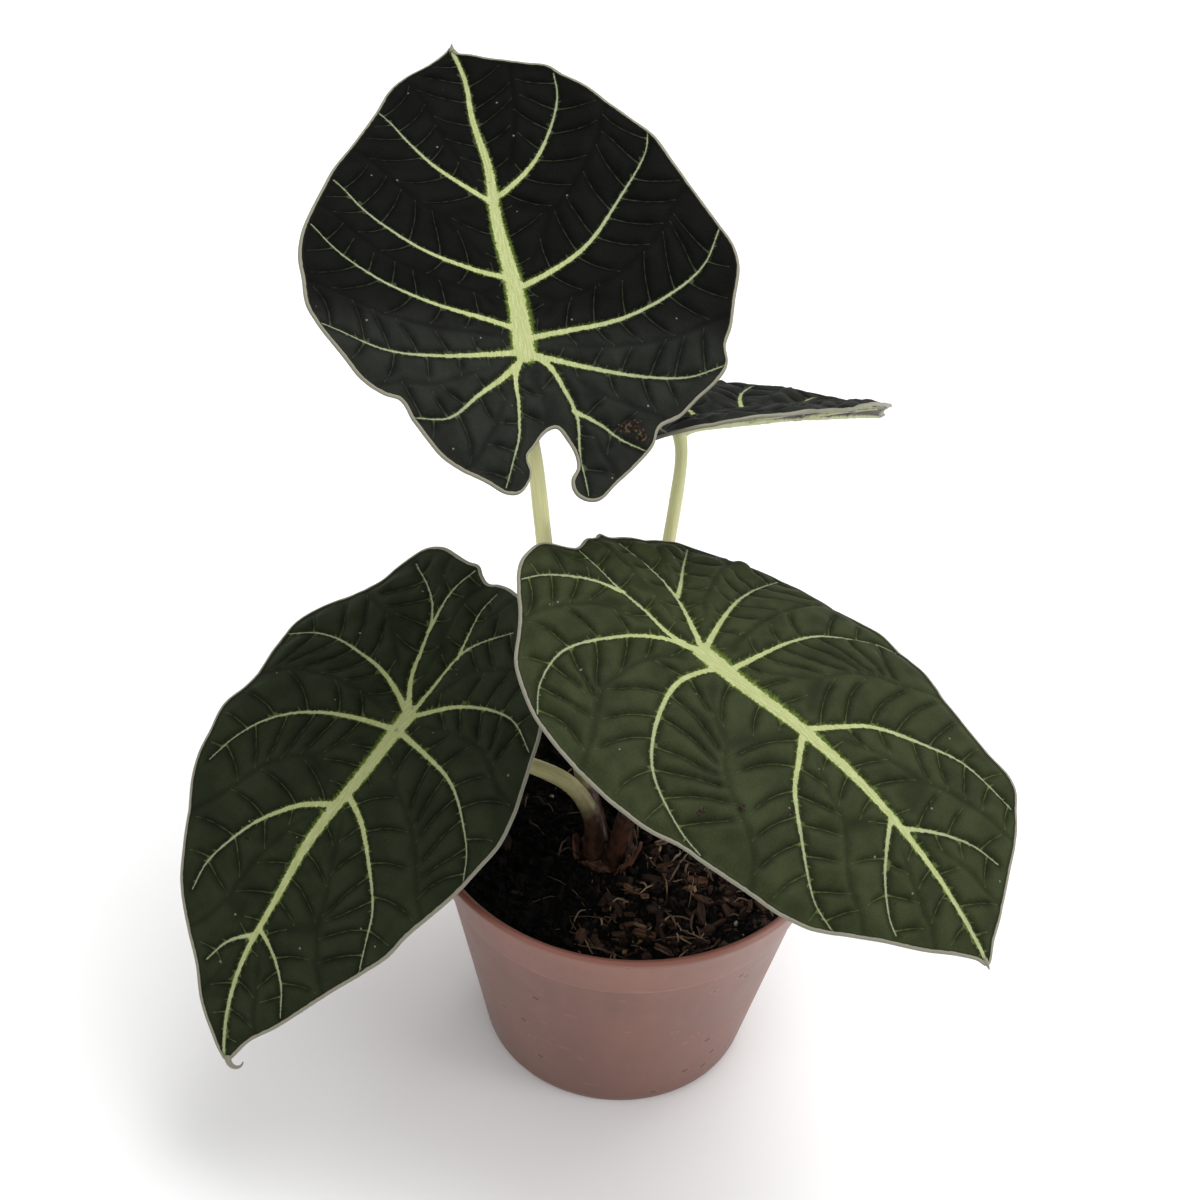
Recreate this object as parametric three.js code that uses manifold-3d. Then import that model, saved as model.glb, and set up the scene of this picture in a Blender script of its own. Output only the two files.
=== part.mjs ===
// Potted alocasia: a nursery pot of potting mix, a short stem base, four leaf stalks and four
// heart-shaped leaves. Millimetres, +Z up. The origin is the centre of the pot's base.
import * as THREE from "three";
import { ParametricGeometry } from "three/addons/geometries/ParametricGeometry.js";
import { mergeVertices } from "three/addons/utils/BufferGeometryUtils.js";
import Module from "manifold-3d";

const wasm = await Module();
wasm.setup();

// ---- Driving dimensions -------------------------------------------------------------------

const GAP = 0.3; // air left between two pieces that touch

const pot = {
  height: 86,
  rimRadius: 60, // outside of the rolled lip
  footRadius: 39.4, // widest point of the rounded foot
  footRise: 2.6, // height of that point
  wall: 1.3,
  floor: 1.8,
  bandHeight: 19, // the plain upper band, lip included
  bandStep: 0.9, // how far the band stands out from the body
  bandDraft: 4.2, // how much the band widens from its foot to the lip
  lipHeight: 2.4,
  lipReach: 1.4, // how far the lip stands out from the band
  sides: 48,
};
const drain = { holes: 6, radius: 3.5, circle: 26 };

const mix = {
  below: 11.4, // from the lip down to the level of the mix
  mound: 1.4, // how far the mix is heaped up round the stem base
  moundRadius: 16,
  bump: 0.7, // height of the gentle unevenness
  bumpLength: 34,
  rings: 9,
};

const crown = {
  x: -5.5,
  y: -8,
  top: 2.4, // above the level of the mix
  radius: 8,
  waist: 9.2, // the widest ring of the buried part
  depth: 22,
  sides: 24,
};

const sheath = { inner: 9.6, thick: 0.9, height: 6.5, from: -72, to: 12, steps: 10 };

const blade = { thick: 0.9, hub: 1.2, hubReach: 0.2, around: 56 };

// Each leaf is aimed with a heading (degrees from +X towards +Y), a pitch (tip up) and a roll
// (right side down). The bends are in degrees for every 100 mm and droop when positive. A
// negative fold lifts that half from the midrib. The attachment is measured from the middle of
// the stem base at the level of the mix.
// An outline is in the flat leaf: across, then along the midrib from the stalk towards the tip.
const leaves = {
  upper: {
    attach: [-33, 40, 151.4],
    aim: { heading: 104, pitch: 21, roll: 16 },
    bend: { tip: 16, lobes: 44, left: 12, right: 5 },
    fold: { left: -8, right: -9 },
    twist: 26,
    outline: [
      [0, 114], [-7, 109], [-19.5, 100], [-30, 83], [-42.5, 65], [-52, 46.5], [-59.5, 27],
      [-61.5, 6], [-55, -12], [-44, -21.5], [-36.5, -30.5], [-26, -38], [-11, -42.5],
      [-3.5, -40], [-0.5, -30], [6.5, -24], [11, -32], [15, -41.5], [24, -37], [35, -26],
      [44, -17], [57, -5], [60, 6.5], [64.5, 24.5], [55.5, 45], [46, 66.5], [32, 85.5],
      [16, 100],
    ],
  },
  front_left: {
    attach: [-60, 9, 38.9],
    aim: { heading: -126, pitch: -21, roll: 10 },
    bend: { tip: 32, lobes: -55, left: 9, right: 20 },
    fold: { left: -9, right: -8 },
    twist: 30,
    outline: [
      [-3, 110], [-13.5, 95.5], [-25, 78.5], [-37, 61], [-47, 38], [-54, 18.5], [-52, 1],
      [-48, -14], [-40, -30], [-27, -42], [-13.5, -48], [-3, -46.5], [7, -48], [19, -49.5],
      [34, -45], [41.5, -32.5], [54, -18.5], [56, -8], [50.5, 10], [49.5, 26], [42.5, 47],
      [31, 66.5], [19.5, 82.5], [9.5, 97],
    ],
  },
  front_right: {
    attach: [22.5, -20.5, 100.9],
    aim: { heading: -38, pitch: -3, roll: -2 },
    bend: { tip: 34, lobes: -23, left: 35, right: 27 },
    fold: { left: 6, right: -6 },
    twist: -19,
    outline: [
      [0, 111], [-11, 102.5], [-24, 93], [-38, 81.5], [-41, 68], [-47, 44], [-54, 21],
      [-58, -8], [-54, -25], [-41, -38.5], [-24, -45.5], [-12, -49.5], [-1, -49], [11, -54.5],
      [24, -49.5], [37, -36], [50, -21.5], [55.5, 0], [54.5, 24], [47, 48], [39, 71],
      [28.5, 84], [14, 100],
    ],
  },
  back_right: {
    attach: [11, 67.5, 106.9],
    aim: { heading: 37, pitch: -17, roll: -26 },
    bend: { tip: 4, lobes: 80, left: 62, right: 41 },
    fold: { left: -20, right: -20 },
    twist: 0,
    outline: [
      [0, 80], [-9, 73], [-17.5, 66.5], [-26, 56], [-34, 43.5], [-41, 28], [-44.5, 11],
      [-41, -6], [-29, -20.5], [-14, -29.5], [-6, -23], [0, -17.5], [6, -23], [14, -29.5],
      [29, -20.5], [41, -6], [44.5, 11], [41, 28], [34, 43.5], [26, 56], [17.5, 66.5], [9, 73],
    ],
  },
};

// A stalk's foot is measured from the middle of the stem base, and its bends are points on the
// way up, measured like a leaf's attachment. It ends square under its own leaf's hub.
const stalks = {
  upper: {
    foot: [-2.4, 4.3],
    bends: [[-14, 16, 42], [-23, 26, 88], [-29.5, 34, 126]],
    knee: 9,
    thick: { foot: 3, head: 2.1 },
  },
  front_left: {
    foot: [-3.8, -1.8],
    bends: [[-5.5, 0.5, 15.5], [-12.5, 2, 26], [-26, 4.5, 30.5], [-44, 7.5, 33]],
    knee: 5,
    thick: { foot: 2.9, head: 2.1 },
  },
  front_right: {
    foot: [1.8, -4.3],
    bends: [[6, -7, 32], [13, -12.5, 66]],
    knee: 9,
    thick: { foot: 2.8, head: 2.1 },
  },
  back_right: {
    foot: [3.9, 2.4],
    bends: [[7.5, 20, 30], [9.5, 44, 66]],
    knee: 7,
    thick: { foot: 2.6, head: 1.8 },
  },
};
const stalkSides = 12;
const stalkSteps = 16;

// Loose pieces on the mix. A place is a heading in degrees and a share of the way to the wall.
const chipPlaces = [
  { at: [-62, 0.36], size: [11, 5, 2.4], turn: 5 },
  { at: [-38, 0.5], size: [10, 6, 2.6], turn: 40 },
  { at: [-52, 0.68], size: [13, 5, 2.2], turn: 95 },
  { at: [-26, 0.78], size: [9, 6, 2.8], turn: 150 },
  { at: [-80, 0.74], size: [10, 4.5, 2.2], turn: 20 },
  { at: [-8, 0.46], size: [12, 6, 2.6], turn: 75 },
  { at: [-105, 0.8], size: [9, 5, 2.4], turn: 130 },
  { at: [52, 0.6], size: [12, 7, 3], turn: 15 },
  { at: [120, 0.72], size: [11, 6, 2.6], turn: 60 },
  { at: [190, 0.66], size: [10, 5, 2.6], turn: 110 },
];
const perlitePlaces = [
  { at: [-44, 0.84], size: [3.4, 3, 2.6], turn: 30 },
  { at: [-70, 0.56], size: [3, 2.6, 2.2], turn: 80 },
  { at: [20, 0.8], size: [4, 3.4, 3], turn: 10 },
  { at: [150, 0.5], size: [3.6, 3, 2.6], turn: 45 },
];

// ---- Finishes -----------------------------------------------------------------------------

function finish(color, roughness) {
  return new THREE.MeshStandardMaterial({ color, roughness, metalness: 0 });
}
const finishes = {
  terracottaPlastic: finish(0x9c7a70, 0.5),
  mix: finish(0x17130f, 0.95),
  stemBase: finish(0x7a5a3a, 0.8),
  drySheath: finish(0x6b4026, 0.85),
  stalk: finish(0xcfcf9a, 0.5),
  darkBlade: finish(0x18201a, 0.6),
  greenBlade: finish(0x2e3a28, 0.6),
  bark: finish(0x4a3026, 0.9),
  perlite: finish(0xe6e2d8, 0.8),
};

// ---- Making solids ------------------------------------------------------------------------

const rad = THREE.MathUtils.degToRad;
const UP = new THREE.Vector3(0, 0, 1);

function lathe(profile, sides) {
  const points = profile.map(([radius, height]) => new THREE.Vector2(radius, height));
  return new THREE.LatheGeometry(points, sides).rotateX(Math.PI / 2);
}

function toSolid(geometry) {
  const bare = geometry.clone();
  bare.deleteAttribute("normal");
  bare.deleteAttribute("uv");
  const merged = mergeVertices(bare, 1e-3);
  return new wasm.Manifold(
    new wasm.Mesh({
      numProp: 3,
      vertProperties: merged.attributes.position.array,
      triVerts: new Uint32Array(merged.index.array),
    }),
  );
}

function toGeometry(solid) {
  const mesh = solid.getMesh();
  const geometry = new THREE.BufferGeometry();
  geometry.setAttribute("position", new THREE.BufferAttribute(mesh.vertProperties, 3));
  geometry.setIndex(new THREE.BufferAttribute(mesh.triVerts, 1));
  geometry.computeVertexNormals();
  return geometry;
}

function piece(name, geometry, material) {
  const mesh = new THREE.Mesh(geometry, material);
  mesh.name = name;
  return mesh;
}

// ---- Pot ----------------------------------------------------------------------------------

// The body is one straight taper from the foot to the underside of the band.
const bandFoot = pot.height - pot.bandHeight;
const bandTopRadius = pot.rimRadius - pot.lipReach;
const bandFootRadius = bandTopRadius - pot.bandDraft;
const bodyTopRadius = bandFootRadius - pot.bandStep;

function bodyRadiusAt(height) {
  const rise = (height - pot.footRise) / (bandFoot - pot.footRise);
  return pot.footRadius + (bodyTopRadius - pot.footRadius) * rise;
}

// The inside of the wall, from the floor up to the lip.
function innerRadiusAt(height) {
  if (height <= bandFoot) return bodyRadiusAt(height) - pot.wall;
  const rise = (height - bandFoot) / (pot.height - pot.lipHeight - bandFoot);
  return bodyTopRadius - pot.wall + (pot.bandDraft + pot.bandStep) * Math.min(rise, 1);
}

function makePot() {
  const lipFoot = pot.height - pot.lipHeight;
  const lipInner = innerRadiusAt(lipFoot);
  const profile = [
    [0, 0],
    [pot.footRadius - 2.6, 0],
    [pot.footRadius - 0.8, 0.8],
    [pot.footRadius, pot.footRise],
    [bodyTopRadius, bandFoot],
    [bandFootRadius, bandFoot + 0.5],
    [bandTopRadius, lipFoot],
    [pot.rimRadius, lipFoot + 0.6],
    [pot.rimRadius, pot.height - 0.7],
    [pot.rimRadius - 0.7, pot.height],
    [lipInner + 0.9, pot.height],
    [lipInner + 0.4, pot.height - 0.9],
    [lipInner, lipFoot],
    [innerRadiusAt(bandFoot), bandFoot],
    [innerRadiusAt(pot.floor + 3), pot.floor + 3],
    [innerRadiusAt(pot.floor) - 2.4, pot.floor],
    [0, pot.floor],
  ];
  let solid = toSolid(lathe(profile, pot.sides));
  for (let i = 0; i < drain.holes; i += 1) {
    const turn = (i / drain.holes) * 2 * Math.PI;
    const hole = new THREE.CylinderGeometry(drain.radius, drain.radius, 3 * pot.floor, 20)
      .rotateX(Math.PI / 2)
      .translate(drain.circle * Math.cos(turn), drain.circle * Math.sin(turn), pot.floor / 2);
    solid = solid.subtract(toSolid(hole));
  }
  return piece("nursery_pot", toGeometry(solid), finishes.terracottaPlastic);
}

// ---- Potting mix and stem base ------------------------------------------------------------

const mixLevel = pot.height - mix.below;
const mixRadius = innerRadiusAt(mixLevel) - GAP;

// Height of the top of the mix: level, heaped round the stem base, with gentle bumps.
function mixHeightAt(x, y) {
  const fromCrown = Math.hypot(x - crown.x, y - crown.y) / mix.moundRadius;
  const wave = (2 * Math.PI) / mix.bumpLength;
  const bumps = Math.sin(wave * x + 1) * Math.cos(wave * y) + 0.6 * Math.sin(wave * (x + y));
  return mixLevel + mix.mound * Math.exp(-fromCrown * fromCrown) + (mix.bump / 1.6) * bumps;
}

const crownProfile = [
  [0, -crown.depth],
  [crown.radius * 0.6, -crown.depth + 1],
  [crown.radius, -crown.depth + 7],
  [crown.waist, -crown.depth / 2],
  [crown.radius + 0.4, -4],
  [crown.waist, -1.5],
  [crown.radius + 0.5, crown.top - 0.8],
  [crown.radius, crown.top],
  [0, crown.top],
];

function makeMix() {
  const floor = pot.floor + GAP;
  const levels = [floor + 3, bandFoot];
  const wall = levels.map((height) => [innerRadiusAt(height) - GAP, height]);
  const top = Array.from({ length: mix.rings + 1 }, (_, ring) => {
    return [mixRadius * (1 - ring / mix.rings), mixLevel];
  });
  const profile = [[0, floor], [innerRadiusAt(floor) - 2.6 - GAP, floor], ...wall, ...top];
  const geometry = lathe(profile, pot.sides);
  const position = geometry.attributes.position;
  for (let i = 0; i < position.count; i += 1) {
    if (position.getZ(i) > mixLevel - 1e-3) {
      position.setZ(i, mixHeightAt(position.getX(i), position.getY(i)));
    }
  }
  const socketProfile = crownProfile.map(([radius, height]) => {
    const grown = radius > 0 ? radius + GAP : 0;
    return [grown, height > 0 ? height + crown.depth : height - GAP];
  });
  const socket = lathe(socketProfile, crown.sides).translate(crown.x, crown.y, mixLevel);
  const solid = toSolid(geometry).subtract(toSolid(socket));
  return piece("potting_mix", toGeometry(solid), finishes.mix);
}

function makeStemBase() {
  return piece("stem_base", lathe(crownProfile, crown.sides), finishes.stemBase);
}

// A dry brown scale standing round the front of the stem base.
function makeDrySheath() {
  const shape = new THREE.Shape();
  shape.absarc(0, 0, sheath.inner, rad(sheath.from), rad(sheath.to), false);
  shape.absarc(0, 0, sheath.inner + sheath.thick, rad(sheath.to), rad(sheath.from), true);
  shape.closePath();
  const geometry = new THREE.ExtrudeGeometry(shape, {
    depth: sheath.height,
    bevelEnabled: false,
    curveSegments: sheath.steps,
  });
  const mesh = piece("dry_sheath", geometry, finishes.drySheath);
  const under = [sheath.from, (sheath.from + sheath.to) / 2, sheath.to].map((turn) => {
    const x = crown.x + sheath.inner * Math.cos(rad(turn));
    const y = crown.y + sheath.inner * Math.sin(rad(turn));
    return mixHeightAt(x, y) - mixLevel;
  });
  mesh.position.z = Math.max(...under) + GAP;
  return mesh;
}

// ---- Leaves -------------------------------------------------------------------------------

// The distance and the drop along an arc that starts flat and bends evenly.
function arc(length, bend) {
  if (Math.abs(bend) < 1e-6) return { ahead: length, drop: 0 };
  return { ahead: Math.sin(bend * length) / bend, drop: (1 - Math.cos(bend * length)) / bend };
}

function leafFrame(leaf) {
  const { heading, pitch, roll } = leaf.aim;
  const ahead = new THREE.Vector3(
    Math.cos(rad(pitch)) * Math.cos(rad(heading)),
    Math.cos(rad(pitch)) * Math.sin(rad(heading)),
    Math.sin(rad(pitch)),
  );
  const level = new THREE.Vector3().crossVectors(ahead, UP).normalize();
  const above = new THREE.Vector3().crossVectors(level, ahead);
  above.multiplyScalar(Math.cos(rad(roll))).addScaledVector(level, Math.sin(rad(roll)));
  const right = new THREE.Vector3().crossVectors(ahead, above);
  return { attach: new THREE.Vector3(...leaf.attach), ahead, above, right };
}

// Gives the point that lies at (across, along) in the flat leaf and lift above its middle.
function leafSurface(leaf) {
  const { attach, ahead, above, right } = leafFrame(leaf);
  return (across, along, lift) => {
    const bend = rad(along < 0 ? leaf.bend.lobes : leaf.bend.tip) / 100;
    const run = arc(along, bend);
    const normal = above.clone().multiplyScalar(Math.cos(bend * along));
    normal.addScaledVector(ahead, Math.sin(bend * along));
    const turn = (rad(leaf.twist) / 100) * along;
    const outward = right.clone().multiplyScalar(Math.cos(turn));
    outward.addScaledVector(normal, Math.sin(turn));
    const crest = normal.clone().multiplyScalar(Math.cos(turn));
    crest.addScaledVector(right, -Math.sin(turn));
    const half = across < 0 ? "left" : "right";
    const side = across < 0 ? -1 : 1;
    const start = rad(leaf.fold[half]);
    const slope = start + (rad(leaf.bend[half]) / 100) * Math.abs(across);
    const span = arc(Math.abs(across), rad(leaf.bend[half]) / 100);
    const reach = span.ahead * Math.cos(start) - span.drop * Math.sin(start);
    const drop = span.ahead * Math.sin(start) + span.drop * Math.cos(start);
    return attach
      .clone()
      .addScaledVector(ahead, run.ahead)
      .addScaledVector(above, -run.drop)
      .addScaledVector(outward, side * (reach + lift * Math.sin(slope)))
      .addScaledVector(crest, lift * Math.cos(slope) - drop);
  };
}

// Rings of the skin from the hub's underside out to the margin and back over the top.
const skin = [
  [0, -1], [0.2, -1], [0.45, -1], [0.75, -1], [1, -1],
  [1, 1], [0.75, 1], [0.45, 1], [0.2, 1], [0, 1],
];

function makeLeaf(name, leaf, material) {
  const surface = leafSurface(leaf);
  const margin = new THREE.CatmullRomCurve3(
    leaf.outline.map(([across, along]) => new THREE.Vector3(across, along, 0)),
    true,
    "centripetal",
  );
  const place = (around, ring, target) => {
    const [reach, face] = skin[Math.round(ring * (skin.length - 1))];
    const edge = margin.getPoint(around % 1);
    const hub = face < 0 && reach < blade.hubReach ? blade.hub - blade.thick / 2 : 0;
    const lift = face * (blade.thick / 2 + hub);
    target.copy(surface(edge.x * reach, edge.y * reach, lift));
  };
  const geometry = new ParametricGeometry(place, blade.around, skin.length - 1);
  return piece("leaf_" + name, geometry, material);
}

// ---- Leaf stalks --------------------------------------------------------------------------

// A round tapering stalk. Its foot is cut level and its head is cut parallel to the leaf.
function makeStalk(name, stalk, leaf) {
  const { attach, above, ahead } = leafFrame(leaf);
  const head = attach.clone().addScaledVector(above, -(blade.hub + GAP));
  const knee = head.clone().addScaledVector(above, -stalk.knee).addScaledVector(ahead, 1);
  const foot = new THREE.Vector3(stalk.foot[0], stalk.foot[1], crown.top + GAP);
  const bends = stalk.bends.map((point) => new THREE.Vector3(...point));
  const curve = new THREE.CatmullRomCurve3([foot, ...bends, knee, head], false, "centripetal");
  const frames = curve.computeFrenetFrames(stalkSteps, false);
  const cuts = [
    { at: foot, normal: UP },
    { at: head, normal: above },
  ];
  const place = (around, along, target) => {
    const ring = Math.round(along * (stalkSteps + 2));
    const step = Math.min(Math.max(ring - 1, 0), stalkSteps);
    target.copy(curve.getPointAt(step / stalkSteps));
    if (ring === 0 || ring === stalkSteps + 2) return;
    const { foot: wide, head: narrow } = stalk.thick;
    const radius = wide + (narrow - wide) * Math.sqrt(step / stalkSteps);
    const turn = 2 * Math.PI * around;
    const offset = frames.normals[step].clone().multiplyScalar(radius * Math.cos(turn));
    offset.addScaledVector(frames.binormals[step], radius * Math.sin(turn));
    target.add(offset);
    const cut = { 0: cuts[0], [stalkSteps]: cuts[1] }[step];
    if (cut) {
      const tangent = frames.tangents[step];
      const miss = cut.at.clone().sub(target).dot(cut.normal);
      target.addScaledVector(tangent, miss / tangent.dot(cut.normal));
    }
  };
  const geometry = new ParametricGeometry(place, stalkSides, stalkSteps + 2);
  return piece("stalk_" + name, geometry, finishes.stalk);
}

// ---- Loose pieces on the mix --------------------------------------------------------------

// A rough lump resting on the highest point of the mix under it.
function makeLump(name, { at, size, turn }, material, detail) {
  const [length, width, thick] = size;
  const x = at[1] * mixRadius * Math.cos(rad(at[0]));
  const y = at[1] * mixRadius * Math.sin(rad(at[0]));
  const reachX = (length / 2) * Math.cos(rad(turn));
  const reachY = (length / 2) * Math.sin(rad(turn));
  const under = [-1, 0, 1].map((end) => mixHeightAt(x + end * reachX, y + end * reachY));
  const geometry = new THREE.IcosahedronGeometry(0.5, detail);
  const position = geometry.attributes.position;
  const corner = new THREE.Vector3();
  for (let i = 0; i < position.count; i += 1) {
    corner.fromBufferAttribute(position, i);
    const rough = 0.88 + 0.12 * Math.sin(9 * corner.x + turn) * Math.cos(8 * corner.y - turn);
    corner.multiplyScalar(rough);
    position.setXYZ(i, corner.x * length, corner.y * width, corner.z * thick);
  }
  geometry.computeBoundingBox();
  const mesh = piece(name, geometry, material);
  mesh.rotation.z = rad(turn);
  mesh.position.set(x, y, Math.max(...under) - geometry.boundingBox.min.z + GAP);
  return mesh;
}

function numbered(name, index) {
  return name + "_" + String(index + 1).padStart(2, "0");
}

// ---- The whole plant ----------------------------------------------------------------------

const plant = new THREE.Group();
plant.position.set(crown.x, crown.y, mixLevel);
plant.add(makeStemBase(), makeDrySheath());
for (const name of Object.keys(leaves)) {
  const material = name === "upper" || name === "back_right" ? "darkBlade" : "greenBlade";
  plant.add(makeStalk(name, stalks[name], leaves[name]));
  plant.add(makeLeaf(name, leaves[name], finishes[material]));
}

const pottedAlocasia = new THREE.Group();
pottedAlocasia.add(makePot(), makeMix(), plant);
chipPlaces.forEach((place, i) => {
  pottedAlocasia.add(makeLump(numbered("bark_chip", i), place, finishes.bark, 1));
});
perlitePlaces.forEach((place, i) => {
  pottedAlocasia.add(makeLump(numbered("perlite", i), place, finishes.perlite, 1));
});

export default pottedAlocasia;
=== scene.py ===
import math

import bpy
import numpy as np
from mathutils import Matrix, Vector, kdtree
from mathutils.geometry import delaunay_2d_cdt


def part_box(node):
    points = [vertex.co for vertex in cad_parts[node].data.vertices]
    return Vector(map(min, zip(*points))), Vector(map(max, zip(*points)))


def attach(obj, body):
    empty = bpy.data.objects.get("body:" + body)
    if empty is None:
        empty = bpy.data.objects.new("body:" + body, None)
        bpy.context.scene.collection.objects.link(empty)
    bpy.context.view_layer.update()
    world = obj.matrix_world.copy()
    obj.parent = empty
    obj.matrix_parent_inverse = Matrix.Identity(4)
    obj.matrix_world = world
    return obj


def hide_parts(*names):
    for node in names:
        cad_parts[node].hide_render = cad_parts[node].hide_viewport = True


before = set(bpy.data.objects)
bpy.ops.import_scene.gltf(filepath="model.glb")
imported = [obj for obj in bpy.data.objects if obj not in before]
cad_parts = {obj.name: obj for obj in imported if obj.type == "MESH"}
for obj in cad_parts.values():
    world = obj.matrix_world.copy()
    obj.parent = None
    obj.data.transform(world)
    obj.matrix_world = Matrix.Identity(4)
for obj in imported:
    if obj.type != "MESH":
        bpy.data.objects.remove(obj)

bl_info = {
    "name": "Potted alocasia",
    "version": (1, 0, 0),
    "blender": (4, 5, 0),
    "location": "3D View > Sidebar > Alocasia",
    "description": "Builds a velvet-leaved alocasia in a nursery pot, piece by piece",
    "category": "Add Mesh",
}

MM = 0.001

# ---- The plant's shape --------------------------------------------------------------------
# Millimetres. A leaf's attachment and a stalk's bends are measured from the middle of the stem
# base at the level of the mix. A leaf is aimed by heading, pitch (tip up) and roll (right side
# down) in degrees. Bends and the twist are in degrees for every 100 mm, and bends droop when
# positive. Outlines and veins lie in the flat leaf: across, then along the midrib from the
# stalk towards the tip. "nub" is the point at the tip: its length, radius and curl. "quilt" is
# how strongly the tissue swells towards the tip and in the lobes, "rib" how stout the midrib
# is, and each scar is a dry spot: where it lies, then its two radii.

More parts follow.
